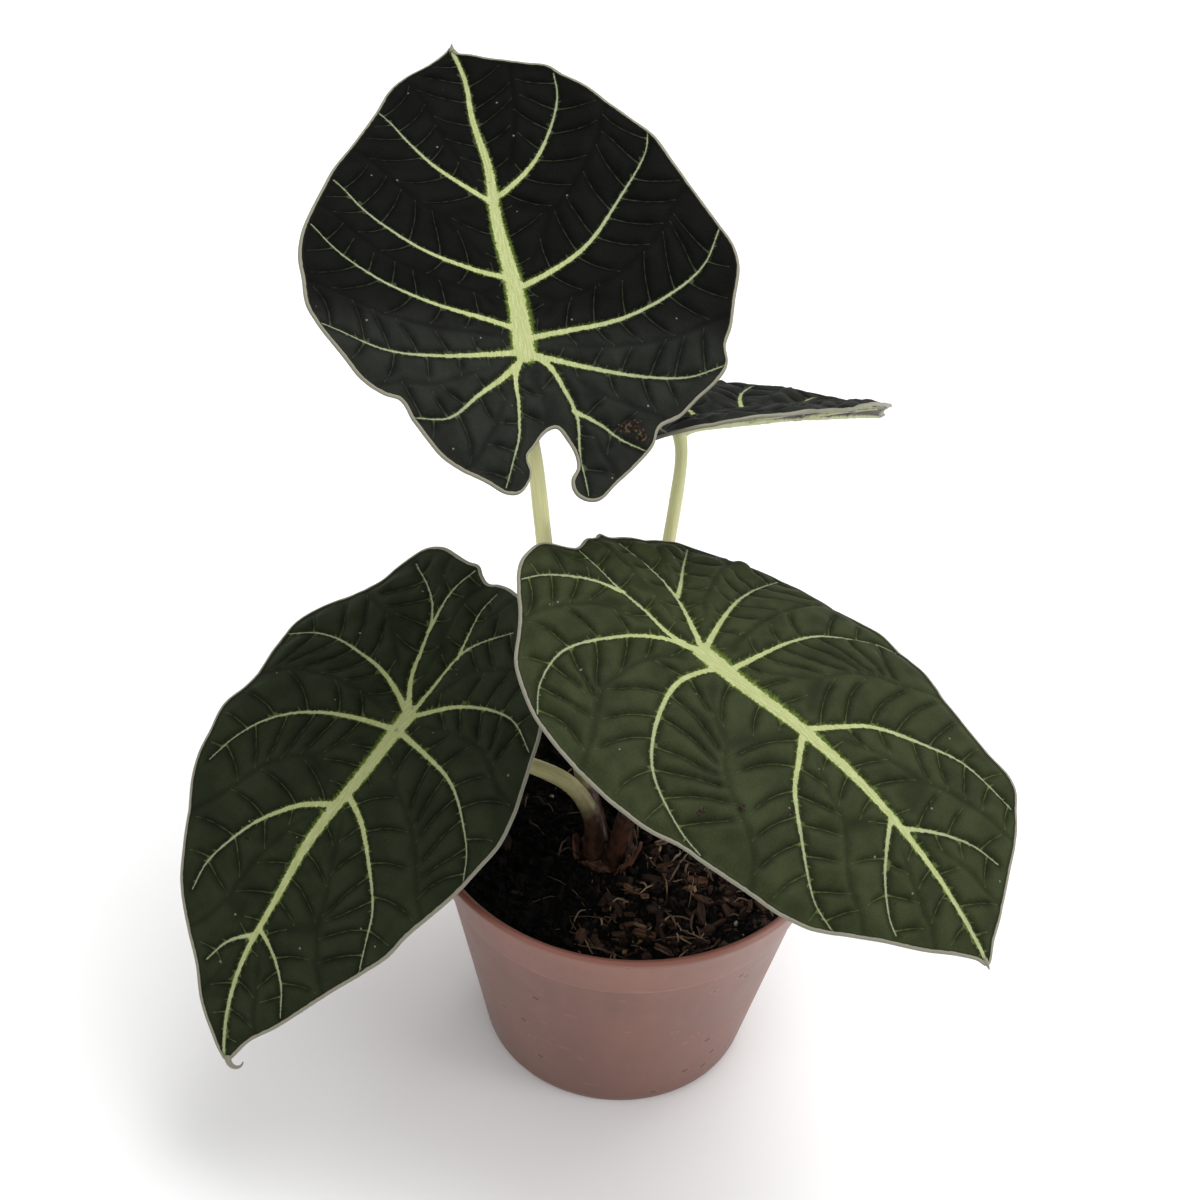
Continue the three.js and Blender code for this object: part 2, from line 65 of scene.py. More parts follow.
LEAVES = {
    "upper": {
        "attach": (-33, 40, 151.4),
        "aim": (104, 21, 16),
        "bend": {"tip": 16, "lobes": 44, "left": 12, "right": 5},
        "fold": {"left": -8, "right": -9},
        "twist": 26,
        "outline": [
            (1.5, 114), (-2, 111.5), (-6, 109), (-13, 105.5), (-19.5, 100), (-24.5, 92),
            (-30, 83), (-36.5, 73.5), (-42.5, 65), (-47.5, 55.5), (-52, 46.5), (-56.5, 36.5),
            (-59.5, 26), (-60.5, 16.5), (-61.5, 6), (-59.5, -2), (-56, -9.5), (-52, -16.5),
            (-46, -20.5), (-41, -21.5), (-38, -27), (-32, -34.5), (-26, -38), (-17.5, -40.5),
            (-11, -42.5), (-6, -42), (-3.2, -39.5), (-1.7, -36), (-2.8, -32), (0, -28.5),
            (4, -24), (7, -23), (9.5, -26), (12.3, -31), (12.4, -34), (10.6, -37),
            (11, -40), (13.5, -42), (18.5, -42), (24, -37), (30, -31.5), (34.5, -26.5),
            (36.5, -21.5), (43, -18), (48.5, -13), (54.5, -8), (57.8, -3.5), (57.8, 1.5),
            (60, 6.5), (62, 14), (64.5, 23), (63.8, 29), (59.5, 37.5), (55.5, 45),
            (51.5, 54), (48, 63), (43, 69.5), (38.5, 75.5), (34, 82.5), (29, 88.5),
            (25.5, 93.5), (20, 97), (10.5, 103.5), (6, 107.5), (3, 110),
        ],
        "midrib": [(0, -1), (0.5, 20), (-0.5, 42), (1, 62), (0.5, 82), (2, 98), (1.5, 112)],
        "veins": [
            [(-1, 50), (-7, 55.5), (-14, 63.5), (-19.5, 74.5), (-22.5, 83.5), (-25, 90)],
            [(0, 23), (-9.5, 24.5), (-24.5, 31), (-36.5, 44), (-41.5, 55.5), (-43.5, 60)],
            [(0, 6), (-9.5, 8), (-25.5, 11.5), (-38.5, 18), (-48, 28), (-53.5, 40)],
            [(0, -1), (-13.5, -4), (-28, -6.5), (-43.5, -6.5), (-59, 0)],
            [(-2.5, -5), (-8.5, -10.5), (-16.5, -16.5), (-27, -24.5), (-38, -26)],
            [(0, -1), (-3.8, -9), (-4, -18), (-5, -27), (-7.5, -33.5), (-10.5, -41)],
            [(0.5, 51), (5.5, 54), (14.5, 62), (22.5, 74.5), (25.5, 82), (26.5, 90)],
            [(0, 19), (8, 22.5), (22, 31), (35, 45.5), (45, 58), (47, 64)],
            [(0, 3), (10, 5), (27.5, 8.5), (42.5, 15), (54.5, 23.5), (61, 34)],
            [(0, -1), (13, -4.5), (30.5, -7.5), (45.5, -7.5), (57, -4)],
            [(0, -1), (6, -4.5), (10, -12), (13, -20), (13.2, -30), (15.5, -41)],
            [(12, -18), (19.5, -21.5), (25, -25), (33, -28)],
        ],
        "nub": (3.0, 1.1, 25),
        "quilt": (0.5, 1.1),
        "rib": 1.0,
        "scars": [(28, -22, 3.4, 1.7), (31.5, -24.5, 2.0, 1.3), (24, 19, 0.5, 0.5)],
    },
    "front_left": {
        "attach": (-60, 9, 38.9),
        "aim": (-126, -21, 10),
        "bend": {"tip": 32, "lobes": -55, "left": 9, "right": 20},
        "fold": {"left": -9, "right": -8},
        "twist": 30,
        "outline": [
            (-3, 110.5), (-7.5, 102.5), (-13.5, 95.5), (-19.5, 87), (-25, 78.5), (-31, 70),
            (-37, 61), (-40, 53), (-45, 42.5), (-49, 34), (-52, 25.5), (-54, 18.5),
            (-54, 10.5), (-52, 1.5), (-50.5, -5.5), (-48.5, -13.5), (-45, -23), (-39, -32),
            (-33, -39), (-24, -45.5), (-13.5, -48), (-4, -47.5), (2.5, -46.3), (5.5, -47.6),
            (8.5, -49.6), (13, -49.2), (19, -49.5), (25.5, -49.5), (34, -46), (39, -38.5),
            (41.5, -32.5), (46.5, -26), (53.5, -18.5), (56.5, -9.5), (53.5, 1), (50.5, 9.5),
            (49.8, 16), (50.5, 23.5), (48, 32), (46, 39.5), (42.5, 47), (38, 53.5),
            (33.5, 62), (29, 70.5), (24.5, 76.5), (19.5, 82.5), (14.5, 88.5), (9.5, 97),
            (3.5, 104.5), (-0.5, 109),
        ],
        "midrib": [(0, -1), (0, 20), (2.2, 42), (2.2, 62), (3, 84), (1, 100), (-2, 110)],
        "veins": [
            [(0, -1), (9, -6), (18.5, -9.5), (29, -11), (39, -11.5), (47, -10), (55, -5.5)],
            [(0, 4), (12.5, 7), (23, 11), (31.5, 16.5), (37, 23), (40, 30), (42, 39)],
            [(1, 31), (10, 36.5), (15.5, 42.5), (19, 47.5), (22.5, 55), (25, 63), (25, 71)],
            [(0, -1), (-12, -9), (-20.5, -12), (-28.5, -13.5), (-37.5, -13), (-48, -7)],
            [(0, 4), (-6, 5), (-16.5, 7), (-26.5, 9.5), (-34, 13.5), (-45.5, 24.5), (-49, 32)],
            [(0.5, 27), (-8.5, 31.5), (-16.5, 38.5), (-26.5, 51), (-29, 59.5), (-31, 70)],
            [(2.6, 72), (-5, 77), (-11, 84), (-14, 92)],
            [(3, 74), (9, 79), (12.5, 86)],
            [(0, -1), (8, -12), (11, -21), (14, -29.5), (18.5, -35), (24, -38.5), (33, -42)],
            [(12.7, -26), (13.5, -37), (12, -43), (9, -48)],
            [(0, -1), (-0.5, -12.5), (-1.5, -20), (-3.5, -25.5), (-10, -31), (-21, -37)],
            [(-2.5, -23), (-1, -34), (-1.5, -40), (-5, -45)],
        ],
        "nub": (8, 1.1, -175),
        "quilt": (0.9, 1.0),
        "rib": 0.8,
        "scars": [(18, 52, 0.9, 0.6), (-21, 33, 0.6, 0.6)],
    },
    "front_right": {
        "attach": (22.5, -20.5, 100.9),
        "aim": (-38, -3, -2),
        "bend": {"tip": 34, "lobes": -23, "left": 35, "right": 27},
        "fold": {"left": 6, "right": -6},
        "twist": -19,
        "outline": [
            (1, 112), (-4, 107.5), (-11, 102.5), (-21.5, 95), (-28, 90.5), (-33.5, 86),
            (-38, 81.5), (-40, 77), (-40.5, 68.5), (-42.5, 59.5), (-44.5, 51), (-48, 41.5),
            (-50.5, 32.5), (-54, 22), (-54.5, 9), (-57.5, -4.5), (-58, -12.5), (-56.5, -21.5),
            (-51.5, -29), (-44.5, -35.5), (-39.5, -40), (-29, -43.5), (-21, -46.5),
            (-16, -48), (-14.2, -50.2), (-12, -49.4), (-7.5, -50), (-2, -48.6), (1, -49.2),
            (8, -54.5), (14.5, -54), (20.5, -52), (27.5, -46), (33.5, -39.5), (39, -34.5),
            (44.5, -30), (47, -27), (50.5, -20.5), (53, -14.5), (54.5, -7.5), (55.5, 0),
            (56, 15), (55, 23), (53.5, 29), (50, 36.5), (48, 45), (45.5, 53.5),
            (43.5, 60), (41.5, 66), (39, 71), (36.5, 75.5), (33.5, 79), (28.5, 84),
            (23, 89.5), (14.5, 98.5), (7, 105), (3, 109),
        ],
        "midrib": [(0, -1), (1, 13), (-0.5, 34), (-1.5, 60), (-1, 86), (0, 100), (1, 110.5)],
        "veins": [
            [(0, -1), (2, -10.5), (0.5, -21.5), (0, -32), (-1, -40.5), (-1, -48)],
            [(0, -30), (4, -37), (10, -42), (17.5, -46), (24, -48)],
            [(0, -1), (-5.5, -9), (-12, -19.5), (-16.5, -31), (-17.5, -45)],
            [(-13.5, -21), (-18, -23.5), (-29, -30), (-41, -36)],
            [(0, -1), (-15, -7), (-29.5, -11.5), (-42, -13.5), (-56, -14.5)],
            [(0, 8), (-11.5, 9), (-24, 10), (-35.5, 13), (-43, 19), (-48, 24), (-50, 30)],
            [(-1, 34), (-11, 40), (-17.5, 44.5), (-27, 59), (-31, 67), (-33, 84.5)],
            [(0, -1), (4.5, -11), (10, -16), (17.5, -20), (32, -24), (45, -20), (52, -14)],
            [(0.5, 6), (9, 3), (15.5, 2.5), (30.5, 8.5), (41.5, 18), (47, 33.5), (47.5, 42)],
            [(-0.5, 34), (7.5, 39.5), (14.5, 44.5), (20.5, 52), (31, 70), (32, 80)],
            [(-1.5, 66), (5.5, 71.5), (12, 78), (17.5, 87), (18.5, 91)],
            [(-1.3, 70), (-9, 77), (-15, 85), (-18, 93)],
        ],
        "nub": (3, 0.9, 20),
        "quilt": (1.0, 1.15),
        "rib": 0.92,
        "scars": [
            (40, 34, 1.5, 0.8), (31, 40, 1.2, 1.0), (5, 20, 0.7, 0.5), (21, 49, 0.8, 0.7),
            (14, 84, 0.6, 0.6),
        ],
    },
    "back_right": {
        "attach": (11, 67.5, 106.9),
        "aim": (37, -17, -26),
        "bend": {"tip": 4, "lobes": 80, "left": 62, "right": 41},
        "fold": {"left": -20, "right": -20},
        "twist": 0,
        "outline": [
            (0, 80), (-2.5, 76.5), (-9, 73), (-17.5, 66.5), (-26, 56), (-34, 43.5), (-41, 28),
            (-44.5, 11), (-44, 0), (-40, -9), (-32, -18), (-22, -26), (-14, -29.5), (-9, -28),
            (-6, -23), (0, -17.5), (6, -23), (9, -28), (14, -29.5), (22, -26), (32, -18),
            (40, -9), (44, 0), (44.5, 11), (41, 28), (34, 43.5), (26, 56), (17.5, 66.5),
            (9, 73), (2.5, 76.5),
        ],
        "midrib": [(0, -1), (0.5, 20), (-0.5, 42), (0.5, 62), (0, 78)],
        "veins": [
            [(0, -1), (-5, -8), (-8, -16), (-12, -27)],
            [(-6.5, -12), (-14, -17), (-24, -22)],
            [(0, -1), (-14, -3), (-28, -3), (-42, 2)],
            [(0, 9), (-12, 11), (-27, 17), (-36, 26), (-39, 33)],
            [(0, 26), (-10, 31), (-20, 40), (-26, 50), (-27, 54)],
            [(0, 46), (-7, 52), (-12, 60), (-14, 66)],
            [(0, -1), (5, -8), (8, -16), (12, -27)],
            [(6.5, -12), (14, -17), (24, -22)],
            [(0, -1), (14, -3), (28, -3), (42, 2)],
            [(0, 7), (12, 9), (27, 15), (36, 24), (40, 32)],
            [(0, 24), (10, 29), (20, 38), (26, 48), (28, 54)],
            [(0, 44), (7, 50), (12, 58), (14, 64)],
        ],
        "nub": (4.5, 1, -150),
        "quilt": (1.0, 0.95),
        "rib": 0.75,
        "scars": [],
    },
}

# A stalk's foot is brown for the first length and fades to green over the second; the brown
# is partly a dry foot, partly painted shade low among the leaves. The foot stands on the stem
# base, its knee is how far under the leaf it turns upright, "thick" is its radius at the foot and
# at the leaf, and the last pair says how far up it is brown and over what length the brown fades.

STALKS = {
    "upper": {
        "foot": (-2.4, 4.3),
        "bends": [(-14, 16, 42), (-23, 26, 88), (-29.5, 34, 126)],
        "knee": 9,
        "thick": (3.0, 2.1),
        "dry_and_shaded_foot": (12, 24),
    },
    "front_left": {
        "foot": (-3.8, -1.8),
        "bends": [(-5.5, 0.5, 15.5), (-12.5, 2, 26), (-26, 4.5, 30.5), (-44, 7.5, 33)],
        "knee": 5,
        "thick": (2.9, 2.1),
        "dry_and_shaded_foot": (4, 50),
    },
    "front_right": {
        "foot": (1.8, -4.3),
        "bends": [(6, -7, 32), (13, -12.5, 66)],
        "knee": 9,
        "thick": (2.8, 2.1),
        "dry_and_shaded_foot": (24, 9),
    },
    "back_right": {
        "foot": (3.9, 2.4),
        "bends": [(7.5, 20, 30), (9.5, 44, 66)],
        "knee": 7,
        "thick": (2.6, 1.8),
        "dry_and_shaded_foot": (10, 24),
    },
}

CROWN_TOP = 2.4  # the stem base stands this far above the level of the mix
MOUND = {"height": 1.4, "radius": 16, "bump": 0.7, "length": 34}
OUTLINE_STEP = 0.9  # points of a leaf's outline
VEIN_STEP = 1.2  # points of its main veins
# A side vein leaves its main vein at the first lean, in degrees, loses "fall" for every
# millimetre it runs away, and keeps at least the last lean. It stops short of the margin and
# of the other side veins.
SIDE_VEIN = {
    "step": 1.3, "most_points": 44, "first_lean": 76, "fall": 2.0, "last_lean": 30,
    "to_margin": 1.6, "to_others": 2.0,
}
POT_DRAINS = {"count": 6, "circle": 26, "radius": 3.5}
# Each dry scale goes from one angle to another round the stem base and leans out at its top.
DRY_SCALES = (
    {"start": -75, "end": 8, "radius": 8.4, "height": 11.5, "lean": 1.6, "seed": 3},
    {"start": 20, "end": 88, "radius": 8.1, "height": 6.5, "lean": 1.4, "seed": 4},
    {"start": -150, "end": -88, "radius": 8.2, "height": 5.5, "lean": 1.2, "seed": 5},
    {"start": 150, "end": 205, "radius": 8.0, "height": 7.0, "lean": 1.6, "seed": 6},
)
# Metres, degrees and millimetres.
CAMERA = {"place": (0, -0.66372, 0.765688), "turn": (47.8743, -2.8388, 3.6564), "lens": 97.84}


def node_box(name):
    """The low and high corners of a node of the frame, in millimetres."""
    low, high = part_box(name)
    return np.array(low) / MM, np.array(high) / MM


def crown_place():
    """The middle of the stem base at the level of the mix, in millimetres."""
    low, high = node_box("stem_base")
    return np.array([(low[0] + high[0]) / 2, (low[1] + high[1]) / 2, high[2] - CROWN_TOP])


# ---- Curves and meshes --------------------------------------------------------------------


def unit(vector):
    """The vector, or each row of vectors, at length 1."""
    return vector / np.linalg.norm(vector, axis=-1, keepdims=True)


def ease(x):
    """0 below 0, 1 above 1, and a smooth climb between them."""
    x = np.clip(x, 0, 1)
    return x * x * (3 - 2 * x)


def smooth_curve(points, closed=False, samples=14):
    """A centripetal Catmull-Rom curve through the points."""
    p = np.asarray(points, float)
    if closed:
        p = np.vstack([p[-1], p, p[0], p[1]])
    else:
        p = np.vstack([2 * p[0] - p[1], p, 2 * p[-1] - p[-2]])
    made = []
    for i in range(1, len(p) - 2):
        a, b, c, d = p[i - 1 : i + 3]
        t0 = 0.0
        t1 = t0 + max(np.linalg.norm(b - a), 1e-6) ** 0.5
        t2 = t1 + max(np.linalg.norm(c - b), 1e-6) ** 0.5
        t3 = t2 + max(np.linalg.norm(d - c), 1e-6) ** 0.5
        t = np.linspace(t1, t2, samples, endpoint=False)[:, None]
        ab = (t1 - t) / (t1 - t0) * a + (t - t0) / (t1 - t0) * b
        bc = (t2 - t) / (t2 - t1) * b + (t - t1) / (t2 - t1) * c
        cd = (t3 - t) / (t3 - t2) * c + (t - t2) / (t3 - t2) * d
        abc = (t2 - t) / (t2 - t0) * ab + (t - t0) / (t2 - t0) * bc
        bcd = (t3 - t) / (t3 - t1) * bc + (t - t1) / (t3 - t1) * cd
        made.append((t2 - t) / (t2 - t1) * abc + (t - t1) / (t2 - t1) * bcd)
    curve = np.vstack(made)
    return curve if closed else np.vstack([curve, p[-2]])


def evenly(curve, step, closed=False):
    """The curve again with its points one step apart."""
    if closed:
        curve = np.vstack([curve, curve[:1]])
    lengths = np.linalg.norm(np.diff(curve, axis=0), axis=1)
    run = np.concatenate([[0], np.cumsum(lengths)])
    count = max(int(round(run[-1] / step)), 2)
    at = np.linspace(0, run[-1], count + 1)
    if closed:
        at = at[:-1]
    return np.stack([np.interp(at, run, curve[:, k]) for k in range(curve.shape[1])], 1)


def ripple(points, length, seed, waves=7):
    """Smooth unevenness between about -1 and 1, with features about one length apart."""
    rng = np.random.default_rng(seed)
    points = np.asarray(points, float)
    total = np.zeros(len(points))
    for _ in range(waves):
        direction = unit(rng.normal(size=points.shape[1]))
        pace = 2 * math.pi / (length * rng.uniform(0.7, 1.5))
        total += np.sin(points @ direction * pace + rng.uniform(0, 2 * math.pi))
    return total / math.sqrt(waves) * 0.9


def make_object(name, verts, faces, materials, smooth=True, face_material=None):
    """A mesh object from points in millimetres, riding on the one rigid body."""
    mesh = bpy.data.meshes.new(name)
    mesh.from_pydata((np.asarray(verts, float) * MM).tolist(), [], faces)
    for material in materials:
        mesh.materials.append(material)
    if face_material is not None:
        mesh.polygons.foreach_set("material_index", np.asarray(face_material, np.int32))
    mesh.polygons.foreach_set("use_smooth", [smooth] * len(mesh.polygons))
    mesh.update()
    made = bpy.data.objects.new(name, mesh)
    bpy.context.scene.collection.objects.link(made)
    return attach(made, "root")


def put(obj, name, values):
    """Stores one number for each point, for a material to read."""
    layer = obj.data.attributes.new(name, "FLOAT", "POINT")
    layer.data.foreach_set("value", np.asarray(values, np.float32))


def put_vector(obj, name, values):
    """Stores one vector for each point, for a material to read."""
    layer = obj.data.attributes.new(name, "FLOAT_VECTOR", "POINT")
    layer.data.foreach_set("vector", np.asarray(values, np.float32).ravel())


def stands_for(obj, slot, *nodes):
    """Hides the nodes that a piece takes the place of; the slot it is given is not used."""
    if nodes:
        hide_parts(*nodes)
    return obj


def grid_faces(rows, columns, wrap=True):
    """Quads between rows of points, the columns closing on themselves if wrap is set."""
    faces = []
    for r in range(rows - 1):
        for c in range(columns if wrap else columns - 1):
            d = (c + 1) % columns
            a = r * columns
            b = (r + 1) * columns
            faces.append((a + c, a + d, b + d, b + c))
    return faces


def closed_faces(rings, sides):
    """Quads between closed rings of points, and a fan to each of the two end points that
    follow the rings."""
    faces = grid_faces(rings, sides)
    first, last = rings * sides, rings * sides + 1
    base = (rings - 1) * sides
    for c in range(sides):
        d = (c + 1) % sides
        faces.append((first, d, c))
        faces.append((last, base + c, base + d))
    return faces


def full_turn(sides):
    """The angles of a ring's points."""
    return np.linspace(0, 2 * math.pi, sides, endpoint=False)


def ring(radius, height, turn):
    """A ring of points round the axis, one for each angle."""
    heights = np.broadcast_to(height, turn.shape)
    return np.stack([radius * np.cos(turn), radius * np.sin(turn), heights], 1)


def tube(curve, radii, sides, squash=None):
    """A closed tube along a curve. Gives its points, faces, and how far along each point is."""
    curve = np.asarray(curve, float)
    tangents = unit(np.gradient(curve, axis=0))
    side = np.cross(tangents[0], [0.31, 0.87, 0.2])
    rings = []
    turn = full_turn(sides)
    for i, (point, tangent, radius) in enumerate(zip(curve, tangents, radii)):
        side = unit(side - tangent * (side @ tangent))
        other = np.cross(tangent, side)
        wide = radius * (1 if squash is None else squash[i])
        rings.append(
            point
            + np.outer(np.cos(turn) * wide, side)
            + np.outer(np.sin(turn) * radius, other)
        )
    verts = np.vstack(rings + [curve[:1], curve[-1:]])
    faces = closed_faces(len(curve), sides)
    along = np.concatenate([np.repeat(np.linspace(0, 1, len(curve)), sides), [0, 1]])
    return verts, faces, along


def lathe(profile, sides):
    """A closed turned body from (radius, height) pairs that start and end on the axis."""
    profile = np.asarray(profile, float)
    turn = full_turn(sides)
    rings = [ring(radius, height, turn) for radius, height in profile[1:-1]]
    verts = np.vstack(rings + [[[0, 0, profile[0][1]]], [[0, 0, profile[-1][1]]]])
    return verts, closed_faces(len(rings), sides)


def rounded(profile, radius, steps=4):
    """The profile with the corners that ask for it rounded off: a third number is a radius."""
    made = [np.array(profile[0][:2], float)]
    for before, at, after in zip(profile, profile[1:], profile[2:]):
        here = np.array(at[:2], float)
        size = at[2] if len(at) > 2 else radius
        back = np.array(before[:2], float) - here
        ahead = np.array(after[:2], float) - here
        size = min(size, 0.48 * np.linalg.norm(back), 0.48 * np.linalg.norm(ahead))
        start = here + unit(back) * size
        end = here + unit(ahead) * size
        for t in np.linspace(0, 1, steps + 1):
            made.append((1 - t) ** 2 * start + 2 * t * (1 - t) * here + t * t * end)
    made.append(np.array(profile[-1][:2], float))
    return np.array(made)


def ball(level):
    """The points and triangles of a small geodesic ball of radius 1."""
    phi = (1 + 5**0.5) / 2
    verts = [
        (-1, phi, 0), (1, phi, 0), (-1, -phi, 0), (1, -phi, 0), (0, -1, phi), (0, 1, phi),
        (0, -1, -phi), (0, 1, -phi), (phi, 0, -1), (phi, 0, 1), (-phi, 0, -1), (-phi, 0, 1),
    ]
    faces = [
        (0, 11, 5), (0, 5, 1), (0, 1, 7), (0, 7, 10), (0, 10, 11), (1, 5, 9), (5, 11, 4),
        (11, 10, 2), (10, 7, 6), (7, 1, 8), (3, 9, 4), (3, 4, 2), (3, 2, 6), (3, 6, 8),
        (3, 8, 9), (4, 9, 5), (2, 4, 11), (6, 2, 10), (8, 6, 7), (9, 8, 1),
    ]
    verts = [unit(np.array(v, float)) for v in verts]
    for _ in range(level):
        middle = {}
        finer = []
        for a, b, c in faces:
            mids = []
            for p, q in ((a, b), (b, c), (c, a)):
                key = (min(p, q), max(p, q))
                if key not in middle:
                    middle[key] = len(verts)
                    verts.append(unit(verts[p] + verts[q]))
                mids.append(middle[key])
            ab, bc, ca = mids
            finer += [(a, ab, ca), (b, bc, ab), (c, ca, bc), (ab, bc, ca)]
        faces = finer
    return np.array(verts), np.array(faces)


def random_turns(rng, count, tilt):
    """Rotation matrices: any heading, tilted by up to the given angle in degrees."""
    heading = rng.uniform(0, 2 * math.pi, count)
    lean = np.radians(rng.uniform(-tilt, tilt, count))
    roll = np.radians(rng.uniform(-tilt, tilt, count))
    ch, sh = np.cos(heading), np.sin(heading)
    cl, sl = np.cos(lean), np.sin(lean)
    cr, sr = np.cos(roll), np.sin(roll)
    zero, one = np.zeros(count), np.ones(count)
    z = np.stack([ch, -sh, zero, sh, ch, zero, zero, zero, one], 1).reshape(-1, 3, 3)
    y = np.stack([cl, zero, sl, zero, one, zero, -sl, zero, cl], 1).reshape(-1, 3, 3)
    x = np.stack([one, zero, zero, zero, cr, -sr, zero, sr, cr], 1).reshape(-1, 3, 3)
    return z @ y @ x


# ---- Materials ----------------------------------------------------------------------------


class Finish:
    """A node material under construction."""

    def __init__(self, name):
        self.material = bpy.data.materials.new(name)
        self.material.use_nodes = True
        self.tree = self.material.node_tree
        self.shader = self.tree.nodes["Principled BSDF"]

    def node(self, kind, **settings):
        """Adds a node with the given settings."""
        made = self.tree.nodes.new(kind)
        for key, value in settings.items():
            setattr(made, key, value)
        return made

    def link(self, source, target):
        """Joins an output to a socket."""
        self.tree.links.new(source, target)

    def feed(self, socket, value):
        """Links another node's output to a socket, or sets the socket to a plain value."""
        if isinstance(value, bpy.types.NodeSocket):
            self.link(value, socket)
        else:
            socket.default_value = value

    def set(self, **sockets):
        """Feeds the shader's own sockets."""
        for key, value in sockets.items():
            title = key.replace("_", " ").title().replace("Ior", "IOR")
            self.feed(self.shader.inputs[title], value)

    def attribute(self, name, output="Fac"):
        """Reads what put or put_vector stored on the mesh."""
        return self.node("ShaderNodeAttribute", attribute_name=name).outputs[output]

    def place(self):
        """The point's place in metres."""
        return self.node("ShaderNodeTexCoord").outputs["Object"]

    def maths(self, operation, a, b=None, c=None):
        """One sum on sockets or plain numbers."""
        made = self.node("ShaderNodeMath", operation=operation)
        for socket, value in zip(made.inputs, (a, b, c)):
            if value is not None:
                self.feed(socket, value)
        return made.outputs[0]

    def stretch(self, vector, scale):
        """Scales a place along each axis, so that a pattern gets drawn out."""
        made = self.node("ShaderNodeMapping")
        self.feed(made.inputs["Vector"], vector)
        made.inputs["Scale"].default_value = scale
        return made.outputs[0]

    def noise(self, vector, scale, detail=3, rough=0.5):
        """A cloudy pattern between 0 and 1."""
        made = self.node("ShaderNodeTexNoise")
        self.feed(made.inputs["Vector"], vector)
        made.inputs["Scale"].default_value = scale
        made.inputs["Detail"].default_value = detail
        made.inputs["Roughness"].default_value = rough
        return made.outputs["Fac"]

    def cells(self, vector, scale):
        """The distance to the middle of the nearest cell."""
        made = self.node("ShaderNodeTexVoronoi")
        self.feed(made.inputs["Vector"], vector)
        made.inputs["Scale"].default_value = scale
        return made.outputs["Distance"]

    def between(self, value, low, high, to_low=0.0, to_high=1.0):
        """Eases from one result to another while the value goes from low to high."""
        made = self.node("ShaderNodeMapRange", interpolation_type="SMOOTHSTEP")
        for socket, item in zip(made.inputs, (value, low, high, to_low, to_high)):
            self.feed(socket, item)
        return made.outputs[0]

    def blend(self, share, a, b, mode="MIX"):
        """Lays colour b over colour a by the given share."""
        made = self.node("ShaderNodeMix", data_type="RGBA", blend_type=mode)
        self.feed(made.inputs[0], share)
        self.feed(made.inputs[6], a)
        self.feed(made.inputs[7], b)
        return made.outputs[2]

    def bump(self, height, distance, strength=1.0, under=None):
        """Fine relief, on top of another if one is given."""
        made = self.node("ShaderNodeBump")
        made.inputs["Strength"].default_value = strength
        made.inputs["Distance"].default_value = distance
        self.feed(made.inputs["Height"], height)
        if under is not None:
            self.link(under, made.inputs["Normal"])
        return made.outputs[0]


def colour(value):
    """A colour setting as a socket takes it."""
    return (*value[:3], 1.0)


def shade(value, factor):
    """A colour setting, lighter or darker by a factor."""
    return (value[0] * factor, value[1] * factor, value[2] * factor, 1.0)


